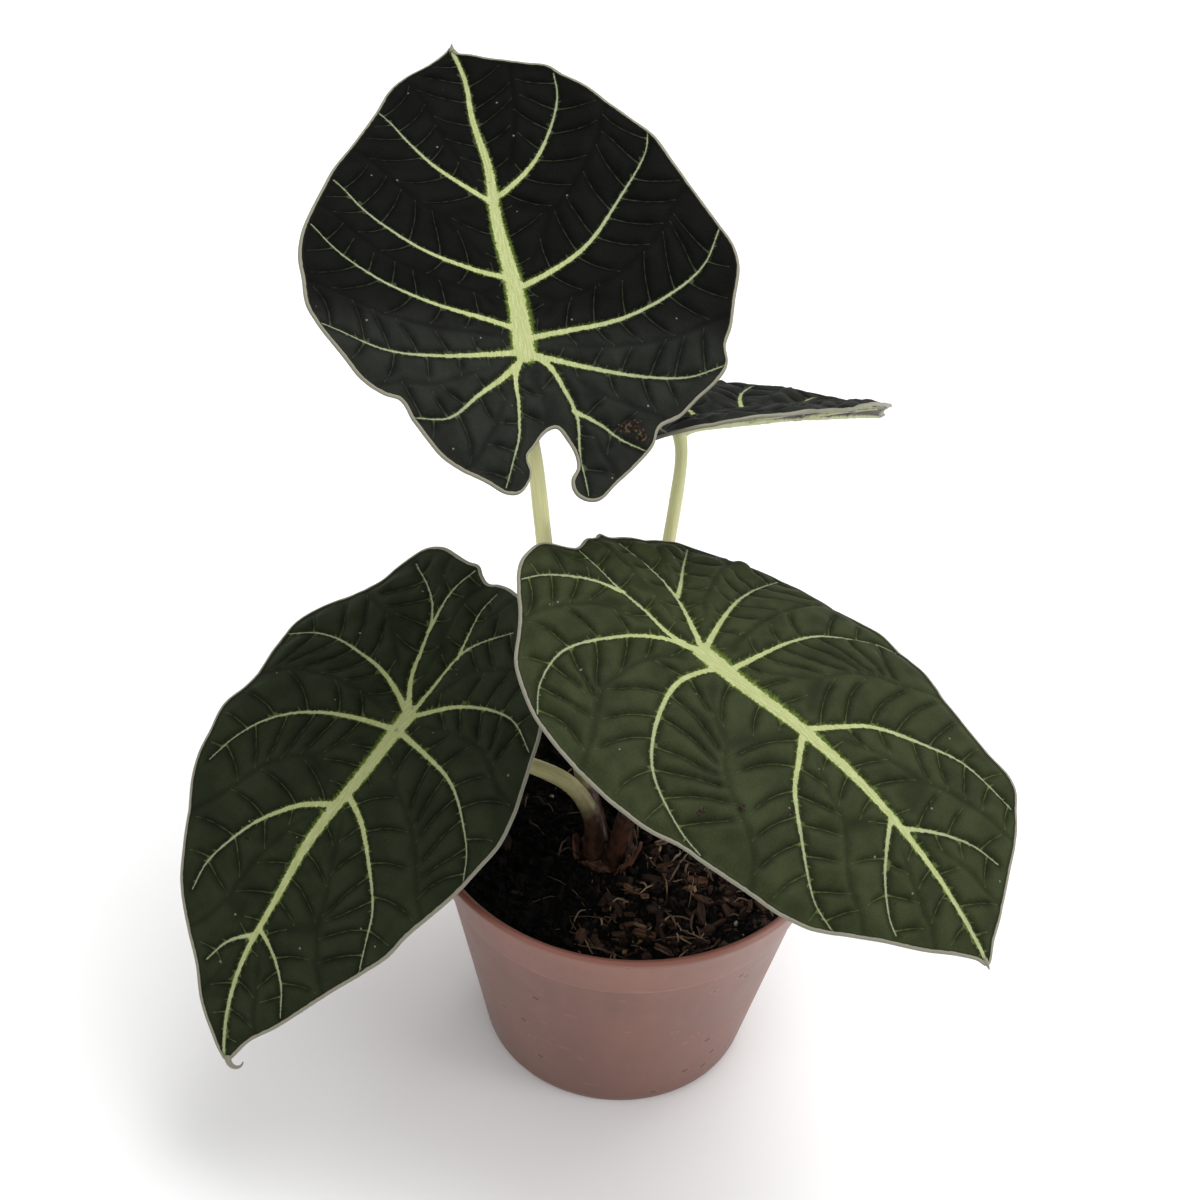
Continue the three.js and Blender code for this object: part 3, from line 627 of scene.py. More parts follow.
def blade_finish(name, blade, settings, glow=1.0, painted_lobe_sheen=0.0, gloss=0.05):
    """The upper face of a leaf: velvet tissue, pale feathered veins and a pale rolled margin.
    Glow is how bright the fine veins are; the next, a painted sheen where the tissue swells most."""
    f = Finish(name)
    flat = f.attribute("leaf_place", "Vector")
    gap = f.attribute("vein_gap")
    half = f.attribute("vein_half")
    fine = f.noise(flat, 1.5, 3, 0.65)
    coarse = f.noise(flat, 0.55, 2, 0.5)
    ragged = f.maths("MULTIPLY_ADD", fine, -1.3, f.maths("MULTIPLY_ADD", coarse, -0.8, 1.05))
    reach = f.maths("MULTIPLY_ADD", half, 0.42, 0.22)
    edge = f.maths("ADD", gap, f.maths("MULTIPLY", ragged, reach))
    core = f.between(edge, 0.14, -0.2)
    spread = f.maths("MULTIPLY_ADD", half, 0.42, 0.5)
    fringe_edge = f.maths("MULTIPLY_ADD", ragged, 1.7, gap)
    fringe = f.between(fringe_edge, spread, -0.4)
    fringe = f.maths("MULTIPLY", fringe, f.between(half, 0.3, 1.5, 0.15, 0.95))

    # Tissue: softly clouded, with painted shade in the valleys and painted light on the swellings.
    crest = f.attribute("crest")
    mottle = f.noise(flat, 0.09, 3, 0.55)
    grain = f.noise(flat, 2.6, 3, 0.65)
    # Painted sheen: the tissue is painted paler where the leaf swells most.
    lobe_sheen_share = f.between(f.attribute("quilt"), 0.5, 1.0, 0.0, painted_lobe_sheen)
    tissue = f.blend(lobe_sheen_share, colour(blade), shade(blade, 4.0))
    tissue = f.blend(1.0, tissue, f.between(mottle, 0.3, 0.7, 1.15, 0.75), "MULTIPLY")
    tissue = f.blend(1.0, tissue, f.between(grain, 0.3, 0.75, 0.88, 1.3), "MULTIPLY")
    # Painted shade in the valleys between the swellings, painted highlight on their crests.
    tissue = f.blend(1.0, tissue, f.between(crest, 0.0, 1.0, 0.47, 1.22), "MULTIPLY")

    # Side veins and the short spurs along every vein.
    side = f.attribute("spur_gap")
    start = f.attribute("spur_start")
    spur_width = f.maths("MULTIPLY_ADD", start, 0.42, 0.16)
    spur = f.between(f.maths("MULTIPLY_ADD", ragged, 0.12, side), spur_width, 0.0)
    spur_bright = f.maths("MULTIPLY", spur, f.maths("MULTIPLY_ADD", start, 0.5, 0.22))
    line = f.maths("MULTIPLY", spur_bright, glow)

    # The pale core: long threads run along it, and thin veins are greyer than stout ones.
    threads = f.noise(f.stretch(flat, (2.2, 0.22, 1.0)), 1.0, 3, 0.6)
    vein, hub = colour(settings.vein_colour), colour(settings.hub_colour)
    thin, moss = colour(settings.thin_vein_colour), colour(settings.fringe_colour)
    stout = f.blend(f.between(threads, 0.35, 0.7), vein, hub)
    stout = f.blend(f.between(f.noise(flat, 1.6, 2), 0.55, 0.8, 0.0, 0.5), stout, moss)
    pale = f.blend(f.between(half, 0.2, 0.75), thin, stout)
    green = f.blend(f.noise(flat, 1.1, 2), moss, shade(settings.fringe_colour, 0.55))
    hue = f.blend(fringe, tissue, green)
    line_hue = f.blend(glow, thin, shade(settings.fringe_colour, 0.85))
    hue = f.blend(line, hue, line_hue)
    hue = f.blend(core, hue, pale)

    # Dry spots, painted shade in the groove inside the margin, and the pale bead of the margin.
    scar = f.attribute("scar")
    torn = f.maths("SUBTRACT", scar, 0.8)
    torn = f.maths("MULTIPLY_ADD", f.noise(flat, 1.2, 3, 0.7), 1.6, torn)
    patches = f.between(f.noise(flat, 1.1, 3), 0.48, 0.66)
    dead = f.blend(patches, (0.012, 0.008, 0.006, 1), (0.105, 0.07, 0.045, 1))
    hue = f.blend(f.between(torn, 0.42, 0.62, 0.0, 0.85), hue, dead)
    rim = f.attribute("edge_gap")
    rim_noise = f.maths("MULTIPLY_ADD", f.noise(flat, 0.5, 2), 0.4, rim)
    # Painted shade along the groove just inside the margin.
    hue = f.blend(f.between(rim_noise, 1.5, 0.95, 0.0, 0.65), hue, (0.012, 0.011, 0.007, 1))
    hue = f.blend(f.between(rim_noise, 0.92, 0.7), hue, colour(settings.margin_colour))
    freckle = f.between(f.cells(flat, 0.13), 0.05, 0.03)
    hue = f.blend(f.maths("MULTIPLY", freckle, 0.4), hue, (0.35, 0.33, 0.26, 1))
    velvet = f.noise(flat, 6.0, 2, 0.7)
    pores = f.bump(velvet, 0.00006, 0.6)
    relief = f.bump(f.noise(flat, 1.2, 3), 0.00025, 0.6, pores)
    f.set(
        base_color=hue,
        roughness=f.between(velvet, 0.2, 0.8, 0.5, 0.66),
        normal=relief,
        specular_ior_level=gloss,
    )
    return f.material


def underside_finish(settings):
    """The lower face of a leaf: dull tissue with a pale net of veins."""
    f = Finish("leaf underside")
    flat = f.attribute("leaf_place", "Vector")
    gap = f.attribute("vein_gap")
    side = f.attribute("side_gap")
    base = colour(settings.underside_colour)
    hue = f.blend(f.noise(flat, 0.1, 3), base, shade(settings.underside_colour, 0.7))
    net = f.maths("MULTIPLY", f.between(side, 0.45, 0.1), 0.35)
    hue = f.blend(net, hue, (0.4, 0.32, 0.22, 1))
    hue = f.blend(f.between(gap, 0.5, -0.2), hue, colour(settings.hub_colour))
    rim = f.between(f.attribute("edge_gap"), 1.0, 0.7)
    hue = f.blend(rim, hue, colour(settings.margin_colour))
    f.set(base_color=hue, roughness=0.5, normal=f.bump(f.noise(flat, 5, 3), 0.0001, 0.5))
    return f.material


def margin_finish(settings):
    """The rolled edge of a leaf."""
    f = Finish("leaf margin")
    flat = f.attribute("leaf_place", "Vector")
    warm = colour(settings.margin_colour)
    hue = f.blend(f.noise(flat, 0.35, 3), warm, shade(settings.margin_colour, 0.6))
    f.set(base_color=hue, roughness=0.45)
    return f.material


def stalk_finish(settings):
    """A waxy cream-green stalk, streaked along its length; brown at the foot, part dry, part
    painted shade.
    """
    f = Finish("leaf stalk")
    place = f.place()
    rise = f.attribute("rise")
    around = f.attribute("streak_place", "Vector")
    streaks = f.noise(f.stretch(around, (1.0, 1.0, 0.05)), 1.6, 4, 0.6)
    wax = settings.stalk_colour
    body = f.blend(f.between(streaks, 0.35, 0.7), colour(wax), shade(wax, 0.8))
    body = f.blend(f.between(rise, 0.55, 1.0, 0.0, 0.35), body, (0.50, 0.58, 0.30, 1))
    flecks = f.between(f.cells(place, 420), 0.12, 0.05)
    body = f.blend(f.maths("MULTIPLY", flecks, 0.3), body, (0.3, 0.22, 0.1, 1))
    # The brown foot: partly dry tissue, partly painted shade low among the leaves.
    dry = f.attribute("dry_and_shaded_foot")
    patchy = f.maths("SUBTRACT", dry, 0.25)
    patchy = f.maths("MULTIPLY_ADD", f.noise(place, 260, 3, 0.6), 0.5, patchy)
    husk = f.between(f.noise(place, 420, 3, 0.6), 0.4, 0.65)
    bark = f.blend(husk, (0.055, 0.022, 0.012, 1), (0.012, 0.007, 0.005, 1))
    body = f.blend(f.between(dry, 0.0, 0.7, 0.0, 0.6), body, (0.16, 0.12, 0.05, 1))
    body = f.blend(f.between(patchy, 0.6, 0.95), body, bark)
    f.set(
        base_color=body,
        roughness=f.between(streaks, 0.2, 0.8, 0.36, 0.5),
        normal=f.bump(streaks, 0.00012, 0.6),
        subsurface_weight=0.12,
        subsurface_radius=(0.004, 0.003, 0.001),
        subsurface_scale=1.0,
        specular_ior_level=0.4,
    )
    return f.material


def pot_finish(settings):
    """Moulded plastic: cloudy tone, a redder lip, a painted step highlight, fine scuffs, dark
    specks.
    """
    f = Finish("terracotta plastic")
    base = settings.pot_colour
    place = f.place()
    cloud = f.noise(place, 20, 4, 0.55)
    fine = f.noise(place, 160, 3, 0.6)
    hue = f.blend(f.between(cloud, 0.3, 0.72), shade(base, 0.82), shade(base, 1.12))
    hue = f.blend(f.between(fine, 0.35, 0.75, 0.0, 0.22), hue, shade(base, 0.68))
    streaks = f.noise(f.stretch(place, (240, 240, 16)), 1.0, 3, 0.6)
    hue = f.blend(f.between(streaks, 0.45, 0.75, 0.0, 0.14), hue, shade(base, 1.5))
    hue = f.blend(1.0, hue, f.between(f.attribute("band"), 0.0, 1.0, 0.86, 1.04), "MULTIPLY")
    rings = f.noise(f.stretch(place, (14, 14, 900)), 1.0, 3, 0.7)
    scuff = f.between(rings, 0.62, 0.8, 0.0, 0.16)
    hue = f.blend(scuff, hue, shade(base, 1.5))
    strokes = f.noise(f.stretch(place, (60, 60, 420)), 1.0, 2, 0.5)
    hue = f.blend(f.between(strokes, 0.69, 0.75, 0.0, 0.3), hue, shade(base, 1.5))
    # Painted highlight along the rounded edge of the step, broken by noise.
    painted_step_highlight = f.between(f.noise(place, 70, 3, 0.6), 0.38, 0.6, 0.1, 0.75)
    hue = f.blend(f.maths("MULTIPLY", f.attribute("step"), painted_step_highlight), hue, shade(base, 1.9))
    dashes = f.cells(f.stretch(place, (95, 95, 170)), 1.0)
    rare = f.between(f.noise(place, 55, 1), 0.44, 0.5)
    chip_mark = f.maths("MULTIPLY", f.between(dashes, 0.15, 0.09), rare)
    chip_edge = f.maths("MULTIPLY", f.between(dashes, 0.22, 0.15), rare)
    hue = f.blend(f.maths("MULTIPLY", chip_edge, 0.3), hue, shade(base, 1.8))
    hue = f.blend(f.maths("MULTIPLY", chip_mark, 0.9), hue, (0.022, 0.012, 0.01, 1))
    # Painted shade: the pot darkens towards its foot.
    painted_low_shade = f.between(f.attribute("height_share"), 0.4, 0.0)
    hue = f.blend(f.maths("MULTIPLY", painted_low_shade, 0.3), hue, shade(base, 0.6))
    hue = f.blend(f.attribute("lip"), hue, (0.23, 0.085, 0.06, 1))
    # Painted shade: the inside of the wall is painted dark.
    hue = f.blend(f.attribute("inner"), hue, (0.075, 0.02, 0.014, 1))
    soil_line = f.attribute("soil_stain")
    stain = f.maths("MULTIPLY", soil_line, f.between(f.noise(place, 120, 3), 0.35, 0.65))
    hue = f.blend(f.maths("MULTIPLY", stain, 0.85), hue, (0.01, 0.007, 0.006, 1))
    f.set(
        base_color=hue,
        roughness=f.between(cloud, 0.2, 0.8, 0.34, 0.5),
        normal=f.bump(fine, 0.00006, 0.5, f.bump(rings, 0.00004, 0.4)),
        specular_ior_level=0.42,
    )
    return f.material


def mix_finish(settings):
    """Moist dark mix; the mesh's tone picks out its browner crumbs."""
    f = Finish("bark and peat mix")
    place = f.place()
    tone = f.attribute("tone")
    dark = colour(settings.mix_colour)
    brown = colour(settings.crumb_colour)
    hue = f.blend(f.between(tone, 0.45, 1.0), dark, brown)
    pits = f.maths("MULTIPLY", f.noise(place, 700, 4, 0.65), 0.7)
    hue = f.blend(pits, hue, (0.002, 0.0018, 0.0016, 1))
    f.set(
        base_color=hue,
        roughness=f.between(f.noise(place, 300, 3), 0.3, 0.7, 0.62, 0.95),
        normal=f.bump(f.noise(place, 900, 5, 0.7), 0.0005, 0.9),
        specular_ior_level=0.1,
    )
    return f.material


def chip_finish():
    """Splintered bark with its grain along the chip."""
    f = Finish("bark chip")
    place = f.attribute("grain_place", "Vector")
    tone = f.attribute("tone")
    fibre = f.noise(f.stretch(place, (0.12, 1.4, 1.4)), 1.6, 4, 0.65)
    hue = f.blend(tone, (0.022, 0.012, 0.008, 1), (0.17, 0.082, 0.044, 1))
    hue = f.blend(f.between(tone, 0.8, 1.0, 0.0, 0.75), hue, (0.36, 0.23, 0.13, 1))
    hue = f.blend(f.between(fibre, 0.35, 0.7), hue, (0.012, 0.007, 0.005, 1))
    relief = f.bump(fibre, 0.0006, 0.9)
    f.set(base_color=hue, roughness=0.82, normal=relief, specular_ior_level=0.2)
    return f.material


def fibre_finish():
    """Dry fibres from dark brown to straw."""
    f = Finish("plant fibre")
    tone = f.attribute("tone")
    hue = f.blend(tone, (0.03, 0.017, 0.01, 1), (0.33, 0.21, 0.12, 1))
    f.set(base_color=hue, roughness=0.75)
    return f.material


def perlite_finish():
    """Chalky, pitted grains."""
    f = Finish("perlite")
    place = f.place()
    hue = f.blend(f.noise(place, 900, 3), (0.40, 0.37, 0.31, 1), (0.16, 0.14, 0.11, 1))
    f.set(base_color=hue, roughness=0.9, normal=f.bump(f.cells(place, 1500), 0.0004, 0.8))
    return f.material


def corky_finish():
    """Brown cork, ringed by old leaf scars."""
    f = Finish("corky stem base")
    place = f.place()
    rings = f.noise(f.stretch(place, (120, 120, 620)), 1.0, 4, 0.6)
    hue = f.blend(f.between(rings, 0.35, 0.65), (0.10, 0.045, 0.022, 1), (0.02, 0.011, 0.007, 1))
    hue = f.blend(f.between(f.noise(place, 260, 3), 0.58, 0.72), hue, (0.22, 0.13, 0.065, 1))
    f.set(base_color=hue, roughness=0.8, normal=f.bump(rings, 0.0007, 0.9))
    return f.material


def dry_scale_finish():
    """Papery rusty-brown scales with fine upright veins."""
    f = Finish("dry sheath")
    place = f.place()
    veins = f.noise(f.stretch(place, (700, 700, 90)), 1.0, 4, 0.6)
    hue = f.blend(f.between(veins, 0.35, 0.7), (0.12, 0.045, 0.02, 1), (0.02, 0.009, 0.006, 1))
    f.set(base_color=hue, roughness=0.6, normal=f.bump(veins, 0.0004, 0.8))
    return f.material


# ---- Leaves -------------------------------------------------------------------------------


class LeafShape:
    """Places points of the flat leaf, with a lift above its middle, in the row frame."""

    def __init__(self, leaf):
        heading, pitch, roll = np.radians(leaf["aim"])
        self.ahead = np.array([
            math.cos(pitch) * math.cos(heading),
            math.cos(pitch) * math.sin(heading),
            math.sin(pitch),
        ])
        level = unit(np.cross(self.ahead, [0, 0, 1]))
        self.above = math.cos(roll) * np.cross(level, self.ahead) + math.sin(roll) * level
        self.right = np.cross(self.ahead, self.above)
        self.attach = crown_place() + np.array(leaf["attach"], float)
        self.leaf = leaf

    def points(self, across, along, lift):
        """Where points of the flat leaf come to lie once it is folded, bent and twisted."""
        leaf = self.leaf
        across, along, lift = (np.asarray(x, float) for x in (across, along, lift))
        bend = np.radians(np.where(along < 0, leaf["bend"]["lobes"], leaf["bend"]["tip"])) / 100
        angle = bend * along
        run = np.sin(angle) / bend
        drop = (1 - np.cos(angle)) / bend
        normal = np.cos(angle)[:, None] * self.above + np.sin(angle)[:, None] * self.ahead
        turn = math.radians(leaf["twist"]) / 100 * along
        ct, st = np.cos(turn)[:, None], np.sin(turn)[:, None]
        outward = ct * self.right + st * normal
        crest = ct * normal - st * self.right
        left = across < 0
        start = np.radians(np.where(left, leaf["fold"]["left"], leaf["fold"]["right"]))
        curl = np.radians(np.where(left, leaf["bend"]["left"], leaf["bend"]["right"])) / 100
        slope = start + curl * np.abs(across)
        reach = (np.sin(slope) - np.sin(start)) / curl
        fall = (np.cos(start) - np.cos(slope)) / curl
        sign = np.where(left, -1.0, 1.0)
        lateral = sign * (reach + lift * np.sin(slope))
        height = lift * np.cos(slope) - fall
        return (
            self.attach
            + run[:, None] * self.ahead
            - drop[:, None] * self.above
            + lateral[:, None] * outward
            + height[:, None] * crest
        )


def nearest_vein(points, veins):
    """For each point the gap to the nearest vein's edge, that vein's half width, and how much
    farther away the next nearest vein is."""
    starts = np.vstack([v[0][:-1] for v in veins])
    ends = np.vstack([v[0][1:] for v in veins])
    half_start = np.concatenate([v[1][:-1] for v in veins])
    half_end = np.concatenate([v[1][1:] for v in veins])
    step = ends - starts
    long2 = np.maximum((step**2).sum(1), 1e-9)
    first = np.cumsum([0] + [len(v[0]) - 1 for v in veins[:-1]])
    gap = np.empty(len(points))
    half = np.empty(len(points))
    farther = np.empty(len(points))
    batch = 4000
    for low in range(0, len(points), batch):
        now = slice(low, low + batch)
        p = points[now]
        rel = p[:, None, :] - starts[None]
        t = np.clip((rel * step[None]).sum(2) / long2, 0, 1)
        away = np.linalg.norm(rel - t[..., None] * step[None], axis=2)
        width = half_start + (half_end - half_start) * t
        found = np.argmin(away - width, axis=1)
        row = np.arange(len(p))
        gap[now] = (away - width)[row, found]
        half[now] = width[row, found]
        each = np.sort(np.minimum.reduceat(away - width, first, axis=1), axis=1)
        farther[now] = each[:, 1] - each[:, 0]
    return gap, half, farther


def tree_of(points):
    """A search tree of flat points."""
    tree = kdtree.KDTree(len(points))
    for i, (x, y) in enumerate(points):
        tree.insert((x, y, 0), i)
    tree.balance()
    return tree


def nearest(tree, points):
    """For each point the gap to the tree's nearest point, and that point's number."""
    found = [tree.find((x, y, 0)) for x, y in points]
    return np.array([f[2] for f in found]), np.array([f[1] for f in found])


def inside(points, outline):
    """Whether each point lies inside the closed outline."""
    x, y = points[:, 0][:, None], points[:, 1][:, None]
    x0, y0 = outline[:, 0][None], outline[:, 1][None]
    x1, y1 = np.roll(outline[:, 0], -1)[None], np.roll(outline[:, 1], -1)[None]
    crosses = (y0 > y) != (y1 > y)
    with np.errstate(divide="ignore", invalid="ignore"):
        at = (x1 - x0) * (y - y0) / (y1 - y0) + x0
    return (crosses & (x < at)).sum(1) % 2 == 1


def grow_side_veins(mains, outline, rng):
    """Fine veins that leave each main vein at a slant, lean over towards its end, and stop
    half way to the next main vein, where they meet the ones coming from there."""
    edge = tree_of(evenly(outline, 1.0, closed=True))
    stems = np.vstack([curve for curve, _ in mains])
    along = np.vstack([unit(np.gradient(curve, axis=0)) for curve, _ in mains])
    owner = np.concatenate([np.full(len(m[0]), i) for i, m in enumerate(mains)])
    trunk = tree_of(stems)
    taken = np.empty((0, 2))
    grown = []
    for index, (curve, _) in enumerate(mains):
        own = along[owner == index]
        for hand in (1, -1):
            i = int(rng.integers(2, 5))
            while i < len(curve) - 1:
                tangent = own[i]
                outward = hand * np.array([-tangent[1], tangent[0]])
                point = curve[i].copy()
                line = [point]
                away = 0.0
                sway = rng.uniform(-4, 4)
                while len(line) < SIDE_VEIN["most_points"]:
                    lean = SIDE_VEIN["first_lean"] - SIDE_VEIN["fall"] * away
                    lean = math.radians(max(lean, SIDE_VEIN["last_lean"]) + sway)
                    way = math.cos(lean) * tangent + math.sin(lean) * outward
                    point = point + SIDE_VEIN["step"] * way
                    _, place, away = trunk.find((point[0], point[1], 0))
                    if len(line) > 2:
                        if owner[place] != index:
                            break
                        tangent = along[place]
                        outward = unit(point - stems[place])
                    if edge.find((point[0], point[1], 0))[2] < SIDE_VEIN["to_margin"]:
                        break
                    if not inside(point[None], outline)[0]:
                        break
                    others = np.hypot(*(taken - point).T)
                    if len(others) and np.min(others) < SIDE_VEIN["to_others"]:
                        break
                    line.append(point)
                if len(line) > 3:
                    grown.append(np.array(line))
                    taken = np.vstack([taken, line[2:]])
                i += int(rng.integers(6, 9))
    return grown


def grow_spurs(mains, rng):
    """Short pointed spurs that stand off both sides of every main vein."""
    grown = []
    for index, (curve, half) in enumerate(mains):
        tangents = unit(np.gradient(curve, axis=0))
        for hand in (1, -1):
            i = int(rng.integers(1, 4))
            while i < len(curve) - 2:
                angle = math.radians(rng.uniform(48, 76)) * hand
                heading = math.atan2(tangents[i][1], tangents[i][0]) + angle
                way = np.array([math.cos(heading), math.sin(heading)])
                length = half[i] + rng.uniform(0.5, 1.0 + 0.45 * half[i])
                if rng.uniform() < half[i] / 0.55:
                    grown.append(curve[i] + np.linspace(0.3, 1, 4)[:, None] * length * way)
                i += int(rng.integers(1, 4) if index == 0 else rng.integers(2, 6))
    return grown


def main_veins(leaf, scale):
    """Each main vein as its curve and its half width at each point of the curve."""
    made = []
    rib = evenly(smooth_curve(leaf["midrib"]), VEIN_STEP)
    share = np.linspace(0, 1, len(rib))
    made.append((rib, scale * leaf["rib"] * (0.55 + 2.6 * (1 - share) ** 1.75)))
    for vein in leaf["veins"]:
        curve = evenly(smooth_curve(vein), VEIN_STEP)
        share = np.linspace(0, 1, len(curve))
        root = 0.78 if len(curve) * VEIN_STEP > 35 else 0.5
        made.append((curve, scale * (0.15 + root * (1 - share) ** 1.35)))
    return made


def cut_triangles(outline, lines, pitch, rng):
    """Cuts the flat leaf into triangles along its outline and along every line. Gives the
    points, the triangles, and a tree of the outline."""
    fixed = [outline]
    edges = []
    count = len(outline)
    loop = list(range(count))
    for curve in lines:
        fixed.append(curve)
        edges += [(count + i, count + i + 1) for i in range(len(curve) - 1)]
        count += len(curve)
    fixed = np.vstack(fixed)

    # Rows of points follow the margin, where the bead and the groove need them.
    ahead = np.roll(outline, -1, axis=0)
    forward = unit(ahead - np.roll(outline, 1, axis=0))
    inward = np.stack([-forward[:, 1], forward[:, 0]], 1)
    area = (outline[:, 0] * ahead[:, 1] - outline[:, 1] * ahead[:, 0]).sum()
    inward *= 1 if area > 0 else -1
    rows = np.vstack([outline + inward * d for d in (0.35, 0.75, 1.25)])
    edge_tree = tree_of(evenly(outline, 0.3, closed=True))
    rows = rows[inside(rows, outline)]
    rows = rows[nearest(edge_tree, rows)[0] > 0.3]

    # A slightly uneven triangular grid fills the rest.
    low, high = outline.min(0), outline.max(0)
    xs = np.arange(low[0], high[0], pitch)
    ys = np.arange(low[1], high[1], pitch * 0.87)
    gx, gy = np.meshgrid(xs, ys)
    gx = gx + (np.arange(len(ys)) % 2)[:, None] * pitch / 2
    grid = np.stack([gx.ravel(), gy.ravel()], 1)
    grid += rng.uniform(-0.12, 0.12, grid.shape) * pitch
    grid = grid[inside(grid, outline)]
    from_edge, from_fixed = nearest(edge_tree, grid)[0], nearest(tree_of(fixed), grid)[0]
    grid = grid[(from_edge > 1.5) & (from_fixed > 0.42)]

    everything = np.vstack([fixed, rows, grid])
    flat, _, triangles, *_ = delaunay_2d_cdt(
        [Vector(p) for p in everything], edges, [loop], 1, 1e-4, False
    )
    flat = np.array([(v.x, v.y) for v in flat])
    triangles = np.array(triangles)
    triangles = triangles[inside(flat[triangles].mean(1), outline)]
    used, triangles = np.unique(triangles, return_inverse=True)
    faces = [tuple(f) for f in triangles.reshape(-1, 3).tolist()]
    return flat[used], faces, edge_tree


def line_marks(flat, sides, spurs):
    """For each point: the gap to the nearest side vein and how deep that one sinks there, then
    the gap to the nearest side vein or spur and how bright that one is there."""
    dense, bright, depths = [], [], []
    for line in sides:
        dense.append(evenly(line, 0.3))
        run = np.linspace(0, len(line) * SIDE_VEIN["step"], len(dense[-1]))
        bright.append(0.62 * np.exp(-run / 1.8) + 0.38 * np.exp(-run / 15))
        depths.append(0.35 + 0.65 * ease((run[-1] - run) / 4))
    side_gap, at = nearest(tree_of(np.vstack(dense)), flat)
    side_depth = np.concatenate(depths)[at]
    for line in spurs:
        dense.append(evenly(line, 0.25))
        bright.append(np.linspace(1.0, 0.25, len(dense[-1])))
    spur_gap, at = nearest(tree_of(np.vstack(dense)), flat)
    return side_gap, side_depth, spur_gap, np.concatenate(bright)[at]


def scar_marks(flat, scars):
    """How much of a dry spot each point lies in."""
    made = np.zeros(len(flat))
    for across, along, wide, long in scars:
        away = ((flat[:, 0] - across) / wide) ** 2 + ((flat[:, 1] - along) / long) ** 2
        made = np.maximum(made, np.exp(-0.7 * away))
    return made


def leaf_relief(flat, marks, settings, seed):
    """The heights of the leaf's upper and lower face over its middle. Tissue swells between
    the veins; the margin waves a little and ends in a rolled bead."""
    gap, half, edge_gap = marks["vein_gap"], marks["vein_half"], marks["edge_gap"]
    clear = np.maximum(gap, 0)
    calm = ease(edge_gap / 6)
    swell = settings.swell / MM * marks["quilt"]
    puff = 0.7 * swell * (1 - np.exp(-((clear / 6) ** 2)))
    puff += swell * marks["crest"] * (1 + 0.25 * ripple(flat, 9, seed + 2))
    puff *= 0.2 + 0.8 * calm
    wave = 0.32 * (1 - ease(edge_gap / 16)) * ripple(flat, 24, seed)
    wave += 0.08 * ripple(flat, 10, seed + 1) * (1 - ease(edge_gap / 9))
    rounding = np.sqrt(1 - np.clip(1 + gap / np.maximum(half, 0.1), 0, 1) ** 2)
    ridge = np.where(gap < 0, 0.16 + 0.1 * half, 0) * rounding
    bead = 0.26 * np.sqrt(np.clip(1 - ((edge_gap - 0.42) / 0.55) ** 2, 0, 1))
    groove = 0.14 * np.exp(-(((edge_gap - 1.25) / 0.3) ** 2))
    hub = np.exp(-((flat**2).sum(1)) / 14)
    thick = settings.thickness / MM
    upper = thick / 2 + puff + wave + ridge + bead - groove
    under_ridge = np.where(gap < 0, 0.45 + 0.55 * half, 0) * rounding
    under_ridge += 0.12 * np.exp(-((marks["side_gap"] / 0.35) ** 2))
    lower = -thick / 2 + 0.8 * puff + wave - under_ridge - 0.9 * bead - 1.1 * hub
    return upper, lower


def rim_of(faces):
    """The outer edges of a flat mesh, and its outer points in order."""
    links = {}
    for face in faces:
        for a, b in zip(face, face[1:] + face[:1]):
            links[(a, b)] = True
    rim = [(a, b) for a, b in links if (b, a) not in links]
    after = dict(rim)
    chain = [rim[0][0]]
    while after[chain[-1]] != chain[0]:
        chain.append(after[chain[-1]])
    return rim, np.array(chain)


def leaf_tip(shape, leaf):
    """The small curled point that a leaf ends in."""
    length, radius, curl = leaf["nub"]
    tip = leaf["outline"][0]
    t = np.linspace(0, 1, 12)
    swing = np.radians(curl) * t
    step = length / (len(t) - 1)
    across = tip[0] + np.cumsum(np.sin(swing)) * step
    along = tip[1] - 2.2 + np.cumsum(np.cos(swing)) * step
    spine = shape.points(across, along, 0.2 * length * t)
    verts, faces, _ = tube(spine, radius * (1 - 0.82 * t), 10)
    return verts, faces


